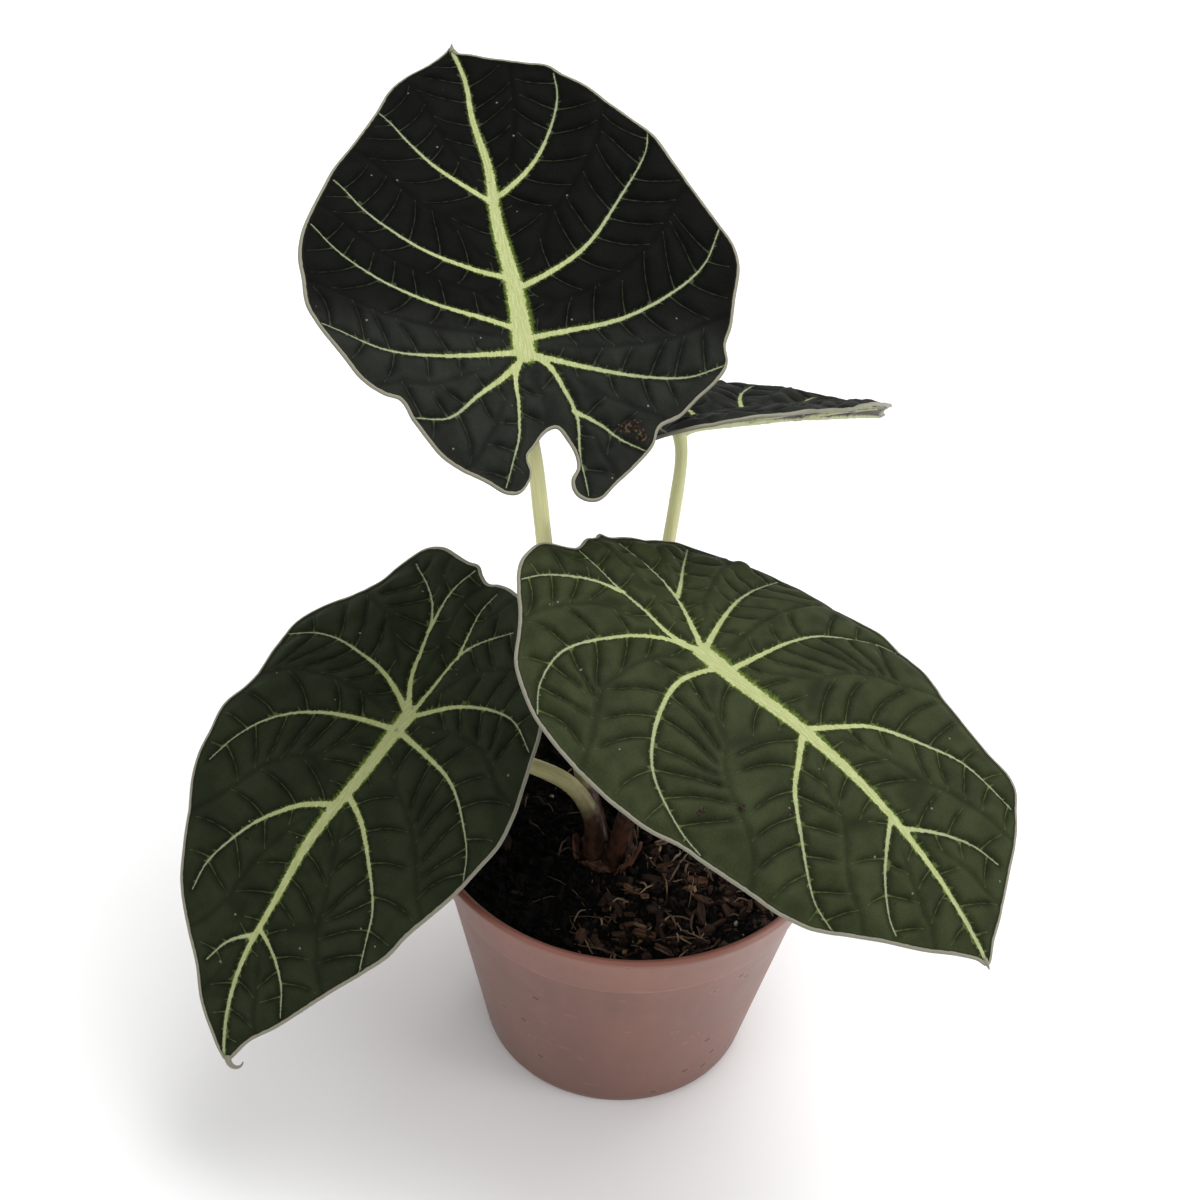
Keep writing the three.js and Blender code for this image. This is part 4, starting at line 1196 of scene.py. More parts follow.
def build_leaf(name, leaf, blade_material, settings, seed):
    """One leaf: an upper and a lower face with veins in relief, a rounded edge and a tip."""
    rng = np.random.default_rng(seed)
    outline = smooth_curve(leaf["outline"], closed=True)
    outline = evenly(outline, OUTLINE_STEP, closed=True)
    mains = main_veins(leaf, settings.vein_scale)
    sides = grow_side_veins(mains, outline, rng)
    spurs = grow_spurs(mains, rng)
    lines = [curve for curve, _ in mains] + sides + spurs
    flat, faces, edge_tree = cut_triangles(outline, lines, settings.mesh_step / MM, rng)

    # What the relief and the materials need to know about each point.
    gap, half, farther = nearest_vein(flat, mains)
    side_gap, side_depth, spur_gap, spur_start = line_marks(flat, sides, spurs)
    dip = (1 - np.clip(gap / 3, 0, 1)) ** 2
    dip = np.maximum(dip, side_depth * (1 - np.clip(side_gap / 3, 0, 1)) ** 2)
    dip = np.maximum(dip, 0.55 * np.exp(-((farther / 2.2) ** 2)) * ease(gap / 6))
    tip_quilt, lobe_quilt = leaf["quilt"]
    marks = {
        "vein_gap": gap,
        "vein_half": half,
        "side_gap": side_gap,
        "spur_gap": spur_gap,
        "spur_start": spur_start,
        "crest": 1 - dip,
        "quilt": lobe_quilt + (tip_quilt - lobe_quilt) * ease((flat[:, 1] + 14) / 34),
        "scar": scar_marks(flat, leaf["scars"]),
        "edge_gap": nearest(edge_tree, flat)[0],
    }
    upper, lower = leaf_relief(flat, marks, settings, seed)

    # The faces, the rounded edge that joins them, and the tip.
    shape = LeafShape(leaf)
    rim, chain = rim_of(faces)
    tangent = unit(np.roll(flat[chain], -1, axis=0) - np.roll(flat[chain], 1, axis=0))
    side_out = flat[chain] + np.stack([tangent[:, 1], -tangent[:, 0]], 1) * 0.3
    middle = (upper[chain] + lower[chain]) / 2
    tip_verts, tip_faces = leaf_tip(shape, leaf)
    verts = np.vstack([
        shape.points(flat[:, 0], flat[:, 1], upper),
        shape.points(flat[:, 0], flat[:, 1], lower),
        shape.points(side_out[:, 0], side_out[:, 1], middle),
        tip_verts,
    ])
    n = len(flat)
    all_faces = faces + [tuple(n + i for i in reversed(face)) for face in faces]
    where = {v: 2 * n + i for i, v in enumerate(chain.tolist())}
    for a, b in rim:
        all_faces.append((b, a, where[a], where[b]))
        all_faces.append((where[b], where[a], n + a, n + b))
    offset = 2 * n + len(chain)
    all_faces += [tuple(offset + i for i in face) for face in tip_faces]
    kind = [0] * len(faces) + [1] * len(faces) + [2] * (2 * len(rim) + len(tip_faces))
    made = make_object(
        "velvet_leaf_" + name,
        verts,
        all_faces,
        [blade_material, bpy.data.materials["leaf underside"], bpy.data.materials["leaf margin"]],
        face_material=kind,
    )
    place = np.zeros((len(verts), 3))
    place[:n, :2] = flat
    place[n : 2 * n, :2] = flat
    place[2 * n : offset, :2] = side_out
    put_vector(made, "leaf_place", place)
    rest = np.zeros(len(verts) - 2 * n)
    for key, values in marks.items():
        put(made, key, np.concatenate([values, values, rest]))
    return made


# ---- Stalks and stem base -----------------------------------------------------------------


def build_stalk(name, stalk, leaf, material):
    """One leaf stalk, from the stem base to a knee that turns it into the leaf."""
    shape = LeafShape(leaf)
    crown = crown_place()
    head = shape.attach - 0.3 * shape.above
    neck = shape.attach - 1.5 * shape.above
    knee = neck - stalk["knee"] * shape.above + shape.ahead
    foot = crown + np.array([*stalk["foot"], CROWN_TOP - 1.2])
    bends = [crown + np.array(p, float) for p in stalk["bends"]]
    step = 1.1
    curve = evenly(smooth_curve([foot, *bends, knee, neck, head]), step)
    share = np.linspace(0, 1, len(curve))
    wide, narrow = stalk["thick"]
    radii = wide + (narrow - wide) * np.sqrt(share)
    run = share * len(curve) * step
    radii = radii * (1 + 0.28 * np.exp(-run / 7))
    radii = radii + 0.8 * np.exp(-(run[-1] - run) / 2.2)
    sides = 28
    verts, faces, along = tube(curve, radii, sides)
    turn = np.tile(full_turn(sides), len(curve))
    skin = len(turn)
    uneven = 1 + 0.02 * ripple(verts[:skin], 16, 5) + 0.012 * np.sin(7 * turn)
    axis = np.repeat(curve, sides, axis=0)
    verts[:skin] = axis + (verts[:skin] - axis) * uneven[:, None]
    made = make_object("fleshy_stalk_" + name, verts, faces, [material])
    put(made, "rise", along)
    # How far up the foot is brown: partly dry, partly painted shade under the leaves.
    brown, blend_over = stalk["dry_and_shaded_foot"]
    dry = 1 - ease((run - brown) / blend_over)
    put(made, "dry_and_shaded_foot", np.concatenate([np.repeat(dry, sides), dry[:1], dry[-1:]]))
    streak = np.zeros((len(verts), 3))
    streak[:skin] = ring(4, np.repeat(run, sides), turn)
    put_vector(made, "streak_place", streak)
    return made


def build_stem_base(material):
    """The corky stem base: a lobed stump, ringed by leaf scars, with a low rounded top."""
    crown = crown_place()
    low, high = node_box("stem_base")
    radius = (high[0] - low[0]) / 2
    sides = 72
    heights = np.linspace(-9, CROWN_TOP, 26)
    rings = []
    turn = full_turn(sides)
    for z in heights:
        scar = 0.35 * math.sin(z * 2.4)
        taper = radius * (0.93 - 0.10 * ease((z + 1) / 4.5))
        lobes = 0.5 * np.sin(3 * turn + z * 0.2) + 0.25 * np.sin(7 * turn + 2)
        rings.append(ring(taper + scar * 0.6 + lobes, z, turn))
    shoulder = rings[-1]
    for share, z in ((0.86, 0.25), (0.6, 0.45), (0.3, 0.5)):
        upper = shoulder.copy()
        upper[:, :2] *= share
        upper[:, 2] = CROWN_TOP + z + 0.3 * np.sin(4 * turn)
        rings.append(upper)
    verts = np.vstack(rings + [[[0, 0, heights[0]]], [[0, 0, CROWN_TOP + 0.5]]])
    faces = closed_faces(len(rings), sides)
    verts[:, :3] += 0.22 * np.stack([ripple(verts, 3.2, s) for s in (31, 32, 33)], 1)
    return make_object("corky_stem_base", verts + crown, faces, [material])


def scale_strip(start, end, radius, height, lean, seed, foot=-1.0, thick=0.35):
    """A dry scale round the stem base: curved, leaning out, with a torn upper edge."""
    columns, rows = 22, 12
    angles = np.radians(np.linspace(start, end, columns))
    across = np.linspace(-1, 1, columns)
    torn = 1 - 0.75 * np.abs(across) ** 2.2
    torn += 0.12 * ripple(across[:, None], 0.35, seed)
    sheets = []
    for offset in (0.0, thick):
        for r in range(rows):
            t = r / (rows - 1)
            z = foot + height * torn * t
            out = radius + lean * t * t + 0.5 * np.sin(3 * angles + 4 * t) * t + offset
            sheets.append(np.stack([out * np.cos(angles), out * np.sin(angles), z], 1))
    verts = np.vstack(sheets)
    half = rows * columns
    inner = grid_faces(rows, columns, wrap=False)
    faces = [tuple(reversed(f)) for f in inner]
    faces += [tuple(half + i for i in f) for f in inner]
    border = list(range(columns))
    border += [r * columns + columns - 1 for r in range(1, rows)]
    border += [(rows - 1) * columns + c for c in range(columns - 2, -1, -1)]
    border += [r * columns for r in range(rows - 2, 0, -1)]
    for a, b in zip(border, border[1:] + border[:1]):
        faces.append((a, b, half + b, half + a))
    return verts, faces


def join_parts(parts):
    """Several lots of points and faces as one."""
    verts, faces, count = [], [], 0
    for v, f in parts:
        verts.append(v)
        faces += [tuple(count + int(i) for i in face) for face in f]
        count += len(v)
    return np.vstack(verts), faces


# ---- Pot and mix --------------------------------------------------------------------------


def pot_sizes(settings):
    """Radii and heights of the pot that its wall and the mix share, in millimetres."""
    rim = settings.rim_radius / MM
    height = settings.height / MM
    band_foot = height - settings.band_height / MM
    band_top = rim - 1.4
    band_low = band_top - 4.2
    return {
        "rim": rim,
        "height": height,
        "wall": settings.wall / MM,
        "band_foot": band_foot,
        "band_top": band_top,
        "band_low": band_low,
        "body_top": band_low - 0.9,
        "foot": 39.4 * rim / 60,
        "foot_rise": 2.6,
        "lip_foot": height - 2.4,
        "floor": 1.8,
    }


def inner_radius(p, z):
    """The radius inside the pot's wall at a height, in millimetres."""
    body = p["foot"] + (p["body_top"] - p["foot"]) * (z - p["foot_rise"]) / (
        p["band_foot"] - p["foot_rise"]
    )
    share = np.clip((z - p["band_foot"]) / (p["lip_foot"] - p["band_foot"]), 0, 1)
    upper = p["body_top"] - p["wall"] + 5.1 * share
    return np.where(z <= p["band_foot"], body - p["wall"], upper)


def build_pot(settings, material):
    """The nursery pot: a turned wall with a lip, a band and a step, drilled in its floor."""
    p = pot_sizes(settings)
    rim, top, lip = p["rim"], p["height"], p["lip_foot"]
    inner_lip = float(inner_radius(p, lip))
    mid = (p["foot_rise"] + p["band_foot"]) / 2
    outer_mid = (p["foot"] + p["body_top"]) / 2
    profile = [
        (0, 0.5),
        (33.6, 0.5, 0.4),
        (34.2, 0, 0.3),
        (p["foot"] - 1.2, 0, 1.6),
        (p["foot"], p["foot_rise"], 1.0),
        (outer_mid, mid, 0.1),
        (p["body_top"], p["band_foot"] - 0.1, 0.35),
        (p["band_low"], p["band_foot"] + 0.5, 0.35),
        (p["band_low"] + 0.3, p["band_foot"] + 1.6, 0.2),
        ((p["band_low"] + p["band_top"]) / 2, (p["band_foot"] + lip) / 2, 0.1),
        (p["band_top"], lip - 0.1, 0.3),
        (rim - 0.15, lip + 0.05, 0.3),
        (rim, top - 1.15, 0.3),
        (rim - 0.25, top - 0.75, 0.2),
        (rim - 0.9, top, 0.5),
        (inner_lip + 1.1, top, 0.5),
        (inner_lip + 0.5, top - 0.7, 0.4),
        (inner_lip + 0.1, top - 0.9, 0.3),
        (inner_lip - 0.2, lip, 0.4),
        (float(inner_radius(p, p["band_foot"])), p["band_foot"] + 0.2, 0.5),
        (float(inner_radius(p, 5.0)), 5.0, 1.5),
        (float(inner_radius(p, 1.8)) - 2.4, p["floor"], 1.0),
        (0, p["floor"]),
    ]
    verts, faces = lathe(rounded(profile, 0.3), 224)
    turn = np.arctan2(verts[:, 1], verts[:, 0])
    body = (verts[:, 2] > 4) & (verts[:, 2] < top - 3)
    swing = np.where(body, 0.10 * np.sin(3 * turn + 1) + 0.05 * np.sin(8 * turn), 0)
    radial = np.hypot(verts[:, 0], verts[:, 1])
    scale = np.where(radial > 1, (radial + swing) / np.maximum(radial, 1), 1)
    verts[:, :2] *= scale[:, None]
    made = make_object("moulded_pot", verts, faces, [material])
    cutters = []
    bore = POT_DRAINS["radius"]
    drill, drill_faces = lathe([(0, -1), (bore, -1), (bore, 3.4), (0, 3.4)], 40)
    for i in range(POT_DRAINS["count"]):
        a = 2 * math.pi * i / POT_DRAINS["count"]
        hole = POT_DRAINS["circle"] * np.array([math.cos(a), math.sin(a), 0])
        cutters.append((drill + hole, drill_faces))
    cut_verts, cut_faces = join_parts(cutters)
    cutter_mesh = bpy.data.meshes.new("drain cutter")
    cutter_mesh.from_pydata((cut_verts * MM).tolist(), [], cut_faces)
    cutter = bpy.data.objects.new("drain cutter", cutter_mesh)
    bpy.context.scene.collection.objects.link(cutter)
    apply_cut(made, cutter)
    z = np.array([v.co.z for v in made.data.vertices]) / MM
    r = np.array([math.hypot(v.co.x, v.co.y) for v in made.data.vertices]) / MM
    put(made, "height_share", np.clip(z / top, 0, 1))
    inside_wall = r < np.asarray(inner_radius(p, z)) + 0.4
    put(made, "soil_stain", np.where(inside_wall, ease((top - 1.5 - z) / 9), 0))
    # The inside of the wall, which the material paints dark as shade.
    put(made, "inner", inside_wall.astype(float))
    put(made, "lip", np.where(z > top - 1.0, 1.0, 0.0) * (~inside_wall))
    put(made, "band", ease((z - p["band_foot"]) / 1.0))
    put(made, "step", np.exp(-(((z - p["band_foot"] - 0.2) / 0.45) ** 2)) * (~inside_wall))
    return made


def apply_cut(target, cutter):
    """Cuts one mesh out of another and leaves a plain mesh."""
    cut = target.modifiers.new("drain", "BOOLEAN")
    cut.operation = "DIFFERENCE"
    cut.solver = "EXACT"
    cut.object = cutter
    graph = bpy.context.evaluated_depsgraph_get()
    cut_mesh = bpy.data.meshes.new_from_object(target.evaluated_get(graph))
    target.modifiers.clear()
    old = target.data
    target.data = cut_mesh
    cut_mesh.polygons.foreach_set("use_smooth", [True] * len(cut_mesh.polygons))
    cut_mesh.set_sharp_from_angle(angle=math.radians(50))
    bpy.data.meshes.remove(old)
    bpy.data.objects.remove(cutter)


def mix_height(x, y):
    """The height of the mix over its level: a mound at the stem base and gentle bumps."""
    crown = crown_place()
    level = crown[2]
    away = np.hypot(x - crown[0], y - crown[1]) / MOUND["radius"]
    pace = 2 * math.pi / MOUND["length"]
    bumps = np.sin(pace * x + 1) * np.cos(pace * y) + 0.6 * np.sin(pace * (x + y))
    return level + MOUND["height"] * np.exp(-(away**2)) + MOUND["bump"] / 1.6 * bumps


def rough_height(x, y):
    """The height of the mix with its small lumps and hollows."""
    flat = np.stack([x, y], 1)
    rough = 0.7 * ripple(flat, 7, 41) + 0.45 * ripple(flat, 3.4, 42)
    rough = rough + 0.3 * ripple(flat, 1.7, 43, 11)
    return mix_height(x, y) + rough


def build_mix_bed(pot, material):
    """The body of the mix, which fills the pot, with its rough top."""
    p = pot_sizes(pot)
    level = crown_place()[2]
    radius = float(inner_radius(p, level)) - 0.15
    rings, sides = 92, 300
    turn = full_turn(sides)
    rows = []
    for z in (p["floor"] + 0.2, 6.0, p["band_foot"]):
        r = float(inner_radius(p, z)) - (2.8 if z < 5 else 0.2)
        rows.append(ring(r, z, turn))
    for share in np.linspace(1, 0.006, rings):
        x, y = radius * share * np.cos(turn), radius * share * np.sin(turn)
        rows.append(np.stack([x, y, rough_height(x, y)], 1))
    x = np.zeros(1)
    verts = np.vstack(rows + [[[0, 0, p["floor"] + 0.2]], [[0, 0, rough_height(x, x)[0]]]])
    made = make_object("mix_bed", verts, closed_faces(len(rows), sides), [material])
    share = litter(verts[:, 0], verts[:, 1])
    put(made, "tone", (0.35 + 0.25 * ripple(verts, 5, 51)) * share)
    return made, radius


def litter(x, y):
    """How much loose bark and fibre lies at a place: little on the left, most on the right."""
    return 0.04 + 0.96 * ease((np.asarray(x) + 11 - 0.3 * np.asarray(y)) / 24)


def scatter(rng, count, radius, keep_out, by_litter=False):
    """Places on the mix, clear of the stem base."""
    crown = crown_place()
    found = []
    while len(found) < count:
        r = radius * math.sqrt(rng.uniform())
        a = rng.uniform(0, 2 * math.pi)
        x, y = r * math.cos(a), r * math.sin(a)
        if math.hypot(x - crown[0], y - crown[1]) < keep_out:
            continue
        if by_litter and rng.uniform() > litter(x, y):
            continue
        found.append((x, y))
    return np.array(found)


def lumps(rng, places, sizes, level, squash, sink, tilt=60):
    """Rough lumps on the mix: points, faces and one random tone for each lump."""
    base, faces = ball(level)
    count = len(places)
    jitter = rng.uniform(0.72, 1.18, (count, len(base), 1))
    stretch = np.stack([
        rng.uniform(0.7, 1.5, count), rng.uniform(0.6, 1.1, count), rng.uniform(*squash, count)
    ], 1)
    shapes = base[None] * jitter * stretch[:, None, :] * sizes[:, None, None]
    turned = np.einsum("nij,nkj->nki", random_turns(rng, count, tilt), shapes)
    z = rough_height(places[:, 0], places[:, 1]) + sizes * sink
    turned += np.concatenate([places, z[:, None]], 1)[:, None, :]
    verts = turned.reshape(-1, 3)
    step = np.arange(count)[:, None, None] * len(base)
    all_faces = (faces[None] + step).reshape(-1, 3).tolist()
    share = 0.5 + 0.5 * litter(places[:, 0], places[:, 1])
    tone = np.repeat(rng.uniform(0, 1, count) * share, len(base))
    return verts, all_faces, tone


def build_crumbs(radius, material, crumbs):
    """Loose crumbs all over the mix, with a larger lump for every six small ones."""
    rng = np.random.default_rng(7)
    places = scatter(rng, crumbs, radius - 1.2, 8.2)
    more = scatter(rng, crumbs // 6, radius - 2.5, 9.5)
    small = lumps(rng, places, rng.uniform(0.45, 1.0, len(places)), 0, (0.5, 1.0), 0.15)
    large = lumps(rng, more, rng.uniform(1.0, 2.1, len(more)), 1, (0.45, 0.9), 0.1)
    verts, faces = join_parts([small[:2], large[:2]])
    made = make_object("mix_crumbs", verts, faces, [material], smooth=False)
    put(made, "tone", np.concatenate([small[2], large[2]]))
    return made


def chip(rng, length, width, thick):
    """One splintered flake of bark: a long angular slab with bevelled edges."""
    corners = 9
    turn = np.sort(full_turn(corners) + rng.uniform(-0.22, 0.22, corners))
    reach = rng.uniform(0.78, 1.1, corners)
    outline = np.stack([
        np.sign(np.cos(turn)) * np.abs(np.cos(turn)) ** 0.7 * length / 2 * reach,
        np.sign(np.sin(turn)) * np.abs(np.sin(turn)) ** 0.8 * width / 2 * reach,
    ], 1)
    rings = []
    for share, z in ((0.8, -0.5), (1.0, -0.28), (0.98, 0.22), (0.84, 0.5)):
        layer = np.zeros((corners, 3))
        layer[:, :2] = outline * share * rng.uniform(0.95, 1.04, (corners, 1))
        layer[:, 2] = thick * z + rng.uniform(-0.09, 0.09, corners) * thick
        rings.append(layer)
    bend = rng.uniform(-0.012, 0.012)
    verts = np.vstack(rings + [[[0, 0, -0.5 * thick]], [[0, 0, 0.52 * thick]]])
    verts[:, 2] += bend * verts[:, 0] ** 2
    return verts, closed_faces(len(rings), corners)


def build_chips(radius, material, extra):
    """Bark chips: the ten large ones where the model has them, and more scattered about."""
    rng = np.random.default_rng(11)
    parts, tones, grains = [], [], []
    jobs = []
    names = sorted(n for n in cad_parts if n.startswith("bark_chip"))
    for name in names:
        low, high = node_box(name)
        middle = (low + high) / 2
        spread = high - low
        heading = 0 if spread[0] > spread[1] else math.pi / 2
        heading += rng.uniform(-0.35, 0.35)
        long, wide = max(spread[:2]), min(spread[:2])
        jobs.append((middle[:2], long, wide * 0.62, spread[2] * 0.8, heading, 14))
    for x, y in scatter(rng, extra, radius - 4.5, 10.5, True):
        long = rng.uniform(1.8, 7.5)
        jobs.append((
            (x, y), long, long * rng.uniform(0.13, 0.45), rng.uniform(0.4, 1.3),
            rng.uniform(0, 2 * math.pi), 38,
        ))
    for (x, y), long, wide, thick, heading, tilt in jobs:
        verts, faces = chip(rng, long, wide, thick)
        grains.append(verts + rng.uniform(-40, 40, 3))
        lean = np.radians(rng.uniform(-tilt, tilt, 2))
        c, s = math.cos(heading), math.sin(heading)
        turn = np.array([[c, -s, 0], [s, c, 0], [0, 0, 1]])
        tip = np.array([
            [math.cos(lean[0]), 0, math.sin(lean[0])],
            [0, 1, 0],
            [-math.sin(lean[0]), 0, math.cos(lean[0])],
        ])
        verts = verts @ (turn @ tip).T
        reach = math.hypot(x, y) + long / 2
        if reach > radius - 0.8:
            pull = (radius - 0.8 - long / 2) / math.hypot(x, y)
            x, y = x * pull, y * pull
        z = rough_height(np.array([x]), np.array([y]))[0] + 0.35 * thick
        z += abs(math.sin(lean[0])) * long * 0.16
        parts.append((verts + np.array([x, y, z]), faces))
        tones.append(np.full(len(verts), rng.uniform(0, 1) ** 2.0 * litter(x, y)))
    verts, faces = join_parts(parts)
    made = make_object("bark_chips", verts, faces, [material], smooth=False)
    put(made, "tone", np.concatenate(tones))
    put_vector(made, "grain_place", np.vstack(grains))
    return made, names


def build_fibres(radius, material, count):
    """Thin dry fibres lying over the mix, most of them towards the front right."""
    rng = np.random.default_rng(23)
    crown = crown_place()
    parts, tones = [], []
    while len(parts) < count:
        x, y = scatter(rng, 1, radius * 0.95, 10, rng.uniform() < 0.88)[0]
        share = float(litter(x, y))
        length = rng.uniform(3, 12) if rng.uniform() < 0.85 else rng.uniform(12, 22)
        heading = rng.uniform(0, 2 * math.pi)
        curl = rng.normal(0, 0.09)
        steps = 12
        path = []
        for _ in range(steps):
            path.append((x, y))
            heading += curl + rng.normal(0, 0.07)
            x += math.cos(heading) * length / steps
            y += math.sin(heading) * length / steps
        path = np.array(path)
        if np.hypot(path[:, 0], path[:, 1]).max() > radius - 1:
            continue
        if np.hypot(path[:, 0] - crown[0], path[:, 1] - crown[1]).min() < 8.5:
            continue
        z = rough_height(path[:, 0], path[:, 1])
        z = np.convolve(np.pad(z, 3, mode="edge"), np.ones(7) / 7, mode="valid")
        z = np.maximum(z, rough_height(path[:, 0], path[:, 1]) - 0.2) + 0.35
        z += rng.uniform(0, 1.6) * np.sin(np.linspace(0, math.pi, steps)) ** 2
        curve = np.concatenate([path, z[:, None]], 1)
        thick = rng.uniform(0.12, 0.28)
        radii = thick * (1 - 0.5 * np.abs(np.linspace(-1, 1, steps)) ** 3)
        verts, faces, _ = tube(curve, radii, 6, np.full(steps, rng.uniform(1, 2.2)))
        parts.append((verts, faces))
        tones.append(np.full(len(verts), rng.uniform(0.1, 1) * (0.3 + 0.7 * share)))
    verts, faces = join_parts(parts)
    made = make_object("plant_fibres", verts, faces, [material])
    put(made, "tone", np.concatenate(tones))
    return made


def build_perlite(radius, material):
    """White grains: the model's own, where it has them, and a few more."""
    rng = np.random.default_rng(29)
    names = sorted(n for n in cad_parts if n.startswith("perlite"))
    places, sizes = [], []
    for name in names:
        low, high = node_box(name)
        places.append(((low + high) / 2)[:2])
        sizes.append((high - low).mean() * 0.36)
    more = scatter(rng, 5, radius - 3, 10, True)
    places = np.vstack([places, more])
    sizes = np.concatenate([sizes, rng.uniform(0.4, 0.7, len(more))])
    verts, faces, _ = lumps(rng, places, sizes, 2, (0.7, 1.0), 0.2)
    made = make_object("perlite_grains", verts, faces, [material])
    return made, names


# ---- Settings -----------------------------------------------------------------------------

POT_LOW, POT_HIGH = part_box("nursery_pot")


def size_of(name, text, default):
    """A length setting, in metres."""
    return bpy.props.FloatProperty(
        name=name, description=text, default=default, unit="LENGTH", min=0.0
    )


def colour_of(name, text, default):
    """A colour setting."""
    return bpy.props.FloatVectorProperty(
        name=name, description=text, default=default, subtype="COLOR", min=0.0, max=1.0
    )


def number_of(name, text, default):
    """How many of something there are."""
    return bpy.props.IntProperty(name=name, description=text, default=default, min=0)


def power_of(name, default):
    """The power of a light."""
    return bpy.props.FloatProperty(
        name=name, description="Power of the light", default=default, unit="POWER", min=0.0
    )


class AlocasiaPotSettings(bpy.types.PropertyGroup):
    """Sizes and colour of the pot"""

    rim_radius: size_of("Rim radius", "Outside of the lip", (POT_HIGH.x - POT_LOW.x) / 2)
    height: size_of("Height", "From the floor to the lip", POT_HIGH.z)
    wall: size_of("Wall", "Thickness of the wall", 0.0013)
    band_height: size_of("Band height", "The plain upper band, lip included", 0.019)
    pot_colour: colour_of("Pot colour", "Colour of the plastic", (0.213, 0.101, 0.077))


class AlocasiaMixSettings(bpy.types.PropertyGroup):
    """What the mix is made of"""

    crumbs: number_of("Crumbs", "Loose crumbs on the mix", 3000)
    chips: number_of("Chips", "Small bark chips", 260)
    fibres: number_of("Fibres", "Dry fibres on the mix", 190)
    mix_colour: colour_of("Mix colour", "Colour of the moist mix", (0.0046, 0.0036, 0.0031))
    crumb_colour: colour_of("Crumb colour", "Colour of its lighter crumbs", (0.09, 0.055, 0.04))


class AlocasiaPlantSettings(bpy.types.PropertyGroup):
    """Sizes and colours of the leaves and stalks"""

    thickness: size_of("Blade thickness", "Thickness of a leaf between its veins", 0.0005)
    swell: size_of("Swelling", "How far the tissue swells between the veins", 0.0013)
    mesh_step: size_of("Mesh step", "Size of the leaf's triangles", 0.0009)
    vein_scale: bpy.props.FloatProperty(
        name="Vein width", description="Width of the main veins", default=1.0, min=0.2, max=3.0
    )
    upper_colour: colour_of("Upper blades", "Tissue of the old leaves", (0.0038, 0.0041, 0.0034))
    left_colour: colour_of("Left blade", "Tissue of the left leaf", (0.0148, 0.0192, 0.0092))
    right_colour: colour_of("Right blade", "Tissue of the right leaf", (0.0235, 0.0292, 0.0118))
    vein_colour: colour_of("Veins", "Pale core of the veins", (0.325, 0.365, 0.145))
    hub_colour: colour_of("Vein centre", "Palest parts of the veins", (0.445, 0.465, 0.25))
    thin_vein_colour: colour_of("Thin veins", "Outer ends of the veins", (0.265, 0.30, 0.19))
    fringe_colour: colour_of("Vein fringe", "Green edge beside the veins", (0.155, 0.228, 0.034))
    margin_colour: colour_of("Margin", "Rolled edge of the blade", (0.23, 0.222, 0.165))
    underside_colour: colour_of("Underside", "Lower face of the blade", (0.05, 0.042, 0.034))
    stalk_colour: colour_of("Stalks", "Leaf stalks", (0.64, 0.625, 0.31))


class AlocasiaStageSettings(bpy.types.PropertyGroup):
    """The floor and the lights"""

    floor_size: size_of("Floor size", "Side of the floor", 6.0)
    floor_colour: colour_of("Floor colour", "Pale floor", (0.97, 0.97, 0.97))
    key_power: power_of("Key light", 13.0)
    fill_power: power_of("Fill light", 3.2)
    side_power: power_of("Side light", 3.2)


# ---- Operators ----------------------------------------------------------------------------


class ALOCASIA_OT_pot(bpy.types.Operator):
    """Builds the nursery pot"""

    bl_idname = "alocasia.pot"
    bl_label = "Pot"

    def execute(self, context):
        settings = context.scene.alocasia_pot
        made = build_pot(settings, pot_finish(settings))
        stands_for(made, "pot", "nursery_pot")
        return {"FINISHED"}


class ALOCASIA_OT_mix(bpy.types.Operator):
    """Builds the potting mix with its crumbs, bark chips, fibres and perlite"""

    bl_idname = "alocasia.mix"
    bl_label = "Potting mix"

    def execute(self, context):
        settings = context.scene.alocasia_mix
        material = mix_finish(settings)
        bed, radius = build_mix_bed(context.scene.alocasia_pot, material)
        stands_for(bed, "mix", "potting_mix")
        stands_for(build_crumbs(radius, material, settings.crumbs), "mix")
        chips, names = build_chips(radius, chip_finish(), settings.chips)
        stands_for(chips, "bark", *names)
        stands_for(build_fibres(radius, fibre_finish(), settings.fibres), "bark")
        grains, names = build_perlite(radius, perlite_finish())
        stands_for(grains, "perlite", *names)
        return {"FINISHED"}


class ALOCASIA_OT_stem_base(bpy.types.Operator):
    """Builds the corky stem base and the dry scales round it"""

    bl_idname = "alocasia.stem_base"
    bl_label = "Stem base"

    def execute(self, context):
        stands_for(build_stem_base(corky_finish()), "stem_base", "stem_base")
        crown = crown_place()
        verts, faces = join_parts([scale_strip(**scale) for scale in DRY_SCALES])
        made = make_object("dry_scales", verts + crown, faces, [dry_scale_finish()])
        stands_for(made, "sheath", "dry_sheath")
        return {"FINISHED"}


class ALOCASIA_OT_stalks(bpy.types.Operator):
    """Builds the four leaf stalks"""

    bl_idname = "alocasia.stalks"
    bl_label = "Leaf stalks"

    def execute(self, context):
        material = stalk_finish(context.scene.alocasia_plant)
        for name, stalk in STALKS.items():
            made = build_stalk(name, stalk, LEAVES[name], material)
            stands_for(made, "stalk", "stalk_" + name)
        return {"FINISHED"}


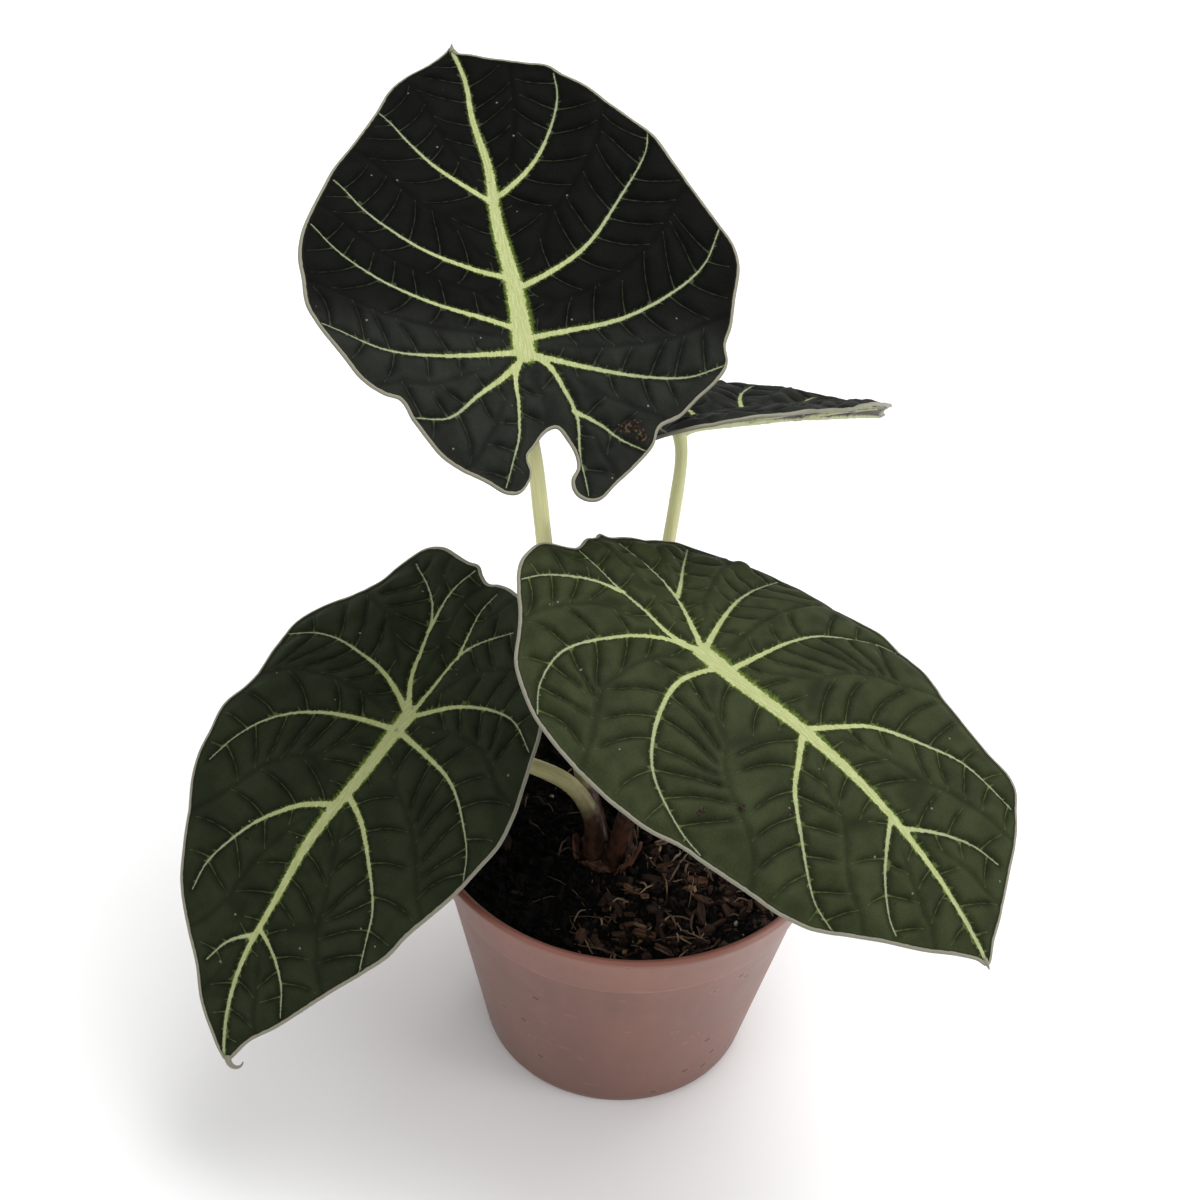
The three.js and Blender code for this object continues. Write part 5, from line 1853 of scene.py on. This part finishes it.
class ALOCASIA_OT_leaves(bpy.types.Operator):
    """Builds the four leaf blades"""

    bl_idname = "alocasia.leaves"
    bl_label = "Leaf blades"

    def execute(self, context):
        settings = context.scene.alocasia_plant
        underside_finish(settings)
        margin_finish(settings)
        dark = blade_finish(
            "black velvet blade", settings.upper_colour, settings, glow=0.34, painted_lobe_sheen=0.9, gloss=0.02
        )
        deep = blade_finish(
            "deep green velvet blade", settings.left_colour, settings, glow=0.75, gloss=0.04
        )
        green = blade_finish(
            "green velvet blade", settings.right_colour, settings, glow=0.85, gloss=0.05
        )
        kinds = {
            "upper": (dark, "dark_leaf"),
            "front_left": (deep, "green_leaf"),
            "front_right": (green, "green_leaf"),
            "back_right": (dark, "dark_leaf"),
        }
        for seed, (name, leaf) in enumerate(LEAVES.items()):
            material, slot = kinds[name]
            made = build_leaf(name, leaf, material, settings, 100 + seed)
            stands_for(made, slot, "leaf_" + name)
        return {"FINISHED"}


class ALOCASIA_OT_stage(bpy.types.Operator):
    """Sets up the pale floor, the soft lights and the camera"""

    bl_idname = "alocasia.stage"
    bl_label = "Stage"

    def execute(self, context):
        settings = context.scene.alocasia_stage
        f = Finish("pale floor")
        f.set(base_color=colour(settings.floor_colour), roughness=0.9)
        half = settings.floor_size / 2
        mesh = bpy.data.meshes.new("floor")
        mesh.from_pydata(
            [(-half, -half, 0), (half, -half, 0), (half, half, 0), (-half, half, 0)],
            [], [(0, 1, 2, 3)],
        )
        mesh.materials.append(f.material)
        floor = bpy.data.objects.new("floor", mesh)
        context.scene.collection.objects.link(floor)
        aim = Vector((0, 0, 0.12))
        add_light("key", (0.25, 0.35, 1.3), aim, 1.0, settings.key_power)
        add_light("fill", (-0.8, -1.0, 0.9), aim, 1.2, settings.fill_power)
        add_light("side", (0.95, -0.3, 0.3), Vector((0, 0, 0.05)), 0.4, settings.side_power)
        world = bpy.data.worlds.new("studio")
        world.use_nodes = True
        back = world.node_tree.nodes["Background"]
        back.inputs["Color"].default_value = (1.0, 1.0, 1.0, 1.0)
        back.inputs["Strength"].default_value = 0.7
        context.scene.world = world
        lens = bpy.data.cameras.new("camera")
        lens.lens = CAMERA["lens"]
        lens.sensor_width = 36
        lens.clip_start = 0.01
        camera = bpy.data.objects.new("camera", lens)
        camera.location = CAMERA["place"]
        camera.rotation_euler = tuple(math.radians(a) for a in CAMERA["turn"])
        context.scene.collection.objects.link(camera)
        context.scene.camera = camera
        context.scene.view_settings.view_transform = "Standard"
        return {"FINISHED"}


def add_light(name, place, aim, size, power):
    """A square soft light at a place, turned to what it lights."""
    lamp = bpy.data.lights.new(name, "AREA")
    lamp.shape = "SQUARE"
    lamp.size = size
    lamp.energy = power
    made = bpy.data.objects.new(name, lamp)
    made.location = place
    made.rotation_euler = (aim - Vector(place)).to_track_quat("-Z", "Y").to_euler()
    bpy.context.scene.collection.objects.link(made)


STEPS = (
    ALOCASIA_OT_pot,
    ALOCASIA_OT_mix,
    ALOCASIA_OT_stem_base,
    ALOCASIA_OT_stalks,
    ALOCASIA_OT_leaves,
    ALOCASIA_OT_stage,
)
GROUPS = {
    "alocasia_pot": AlocasiaPotSettings,
    "alocasia_mix": AlocasiaMixSettings,
    "alocasia_plant": AlocasiaPlantSettings,
    "alocasia_stage": AlocasiaStageSettings,
}


class ALOCASIA_PT_panel(bpy.types.Panel):
    """Lists the settings and the steps that build the plant"""

    bl_label = "Potted alocasia"
    bl_idname = "ALOCASIA_PT_panel"
    bl_space_type = "VIEW_3D"
    bl_region_type = "UI"
    bl_category = "Alocasia"

    def draw(self, context):
        """Draws one box of settings for each group, and one button for each step."""
        for name, group in GROUPS.items():
            box = self.layout.box()
            for key in group.__annotations__:
                box.prop(getattr(context.scene, name), key)
        for step in STEPS:
            self.layout.operator(step.bl_idname)


def register():
    """Adds the classes and the settings to Blender."""
    for kind in (*GROUPS.values(), *STEPS, ALOCASIA_PT_panel):
        bpy.utils.register_class(kind)
    for name, group in GROUPS.items():
        setattr(bpy.types.Scene, name, bpy.props.PointerProperty(type=group))


def unregister():
    """Takes the classes and the settings out again."""
    for name in GROUPS:
        delattr(bpy.types.Scene, name)
    for kind in reversed((*GROUPS.values(), *STEPS, ALOCASIA_PT_panel)):
        bpy.utils.unregister_class(kind)


def main():
    """Builds everything."""
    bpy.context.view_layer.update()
    register()
    for step in STEPS:
        group, action = step.bl_idname.split(".")
        getattr(getattr(bpy.ops, group), action)()


if __name__ == "__main__":
    main()
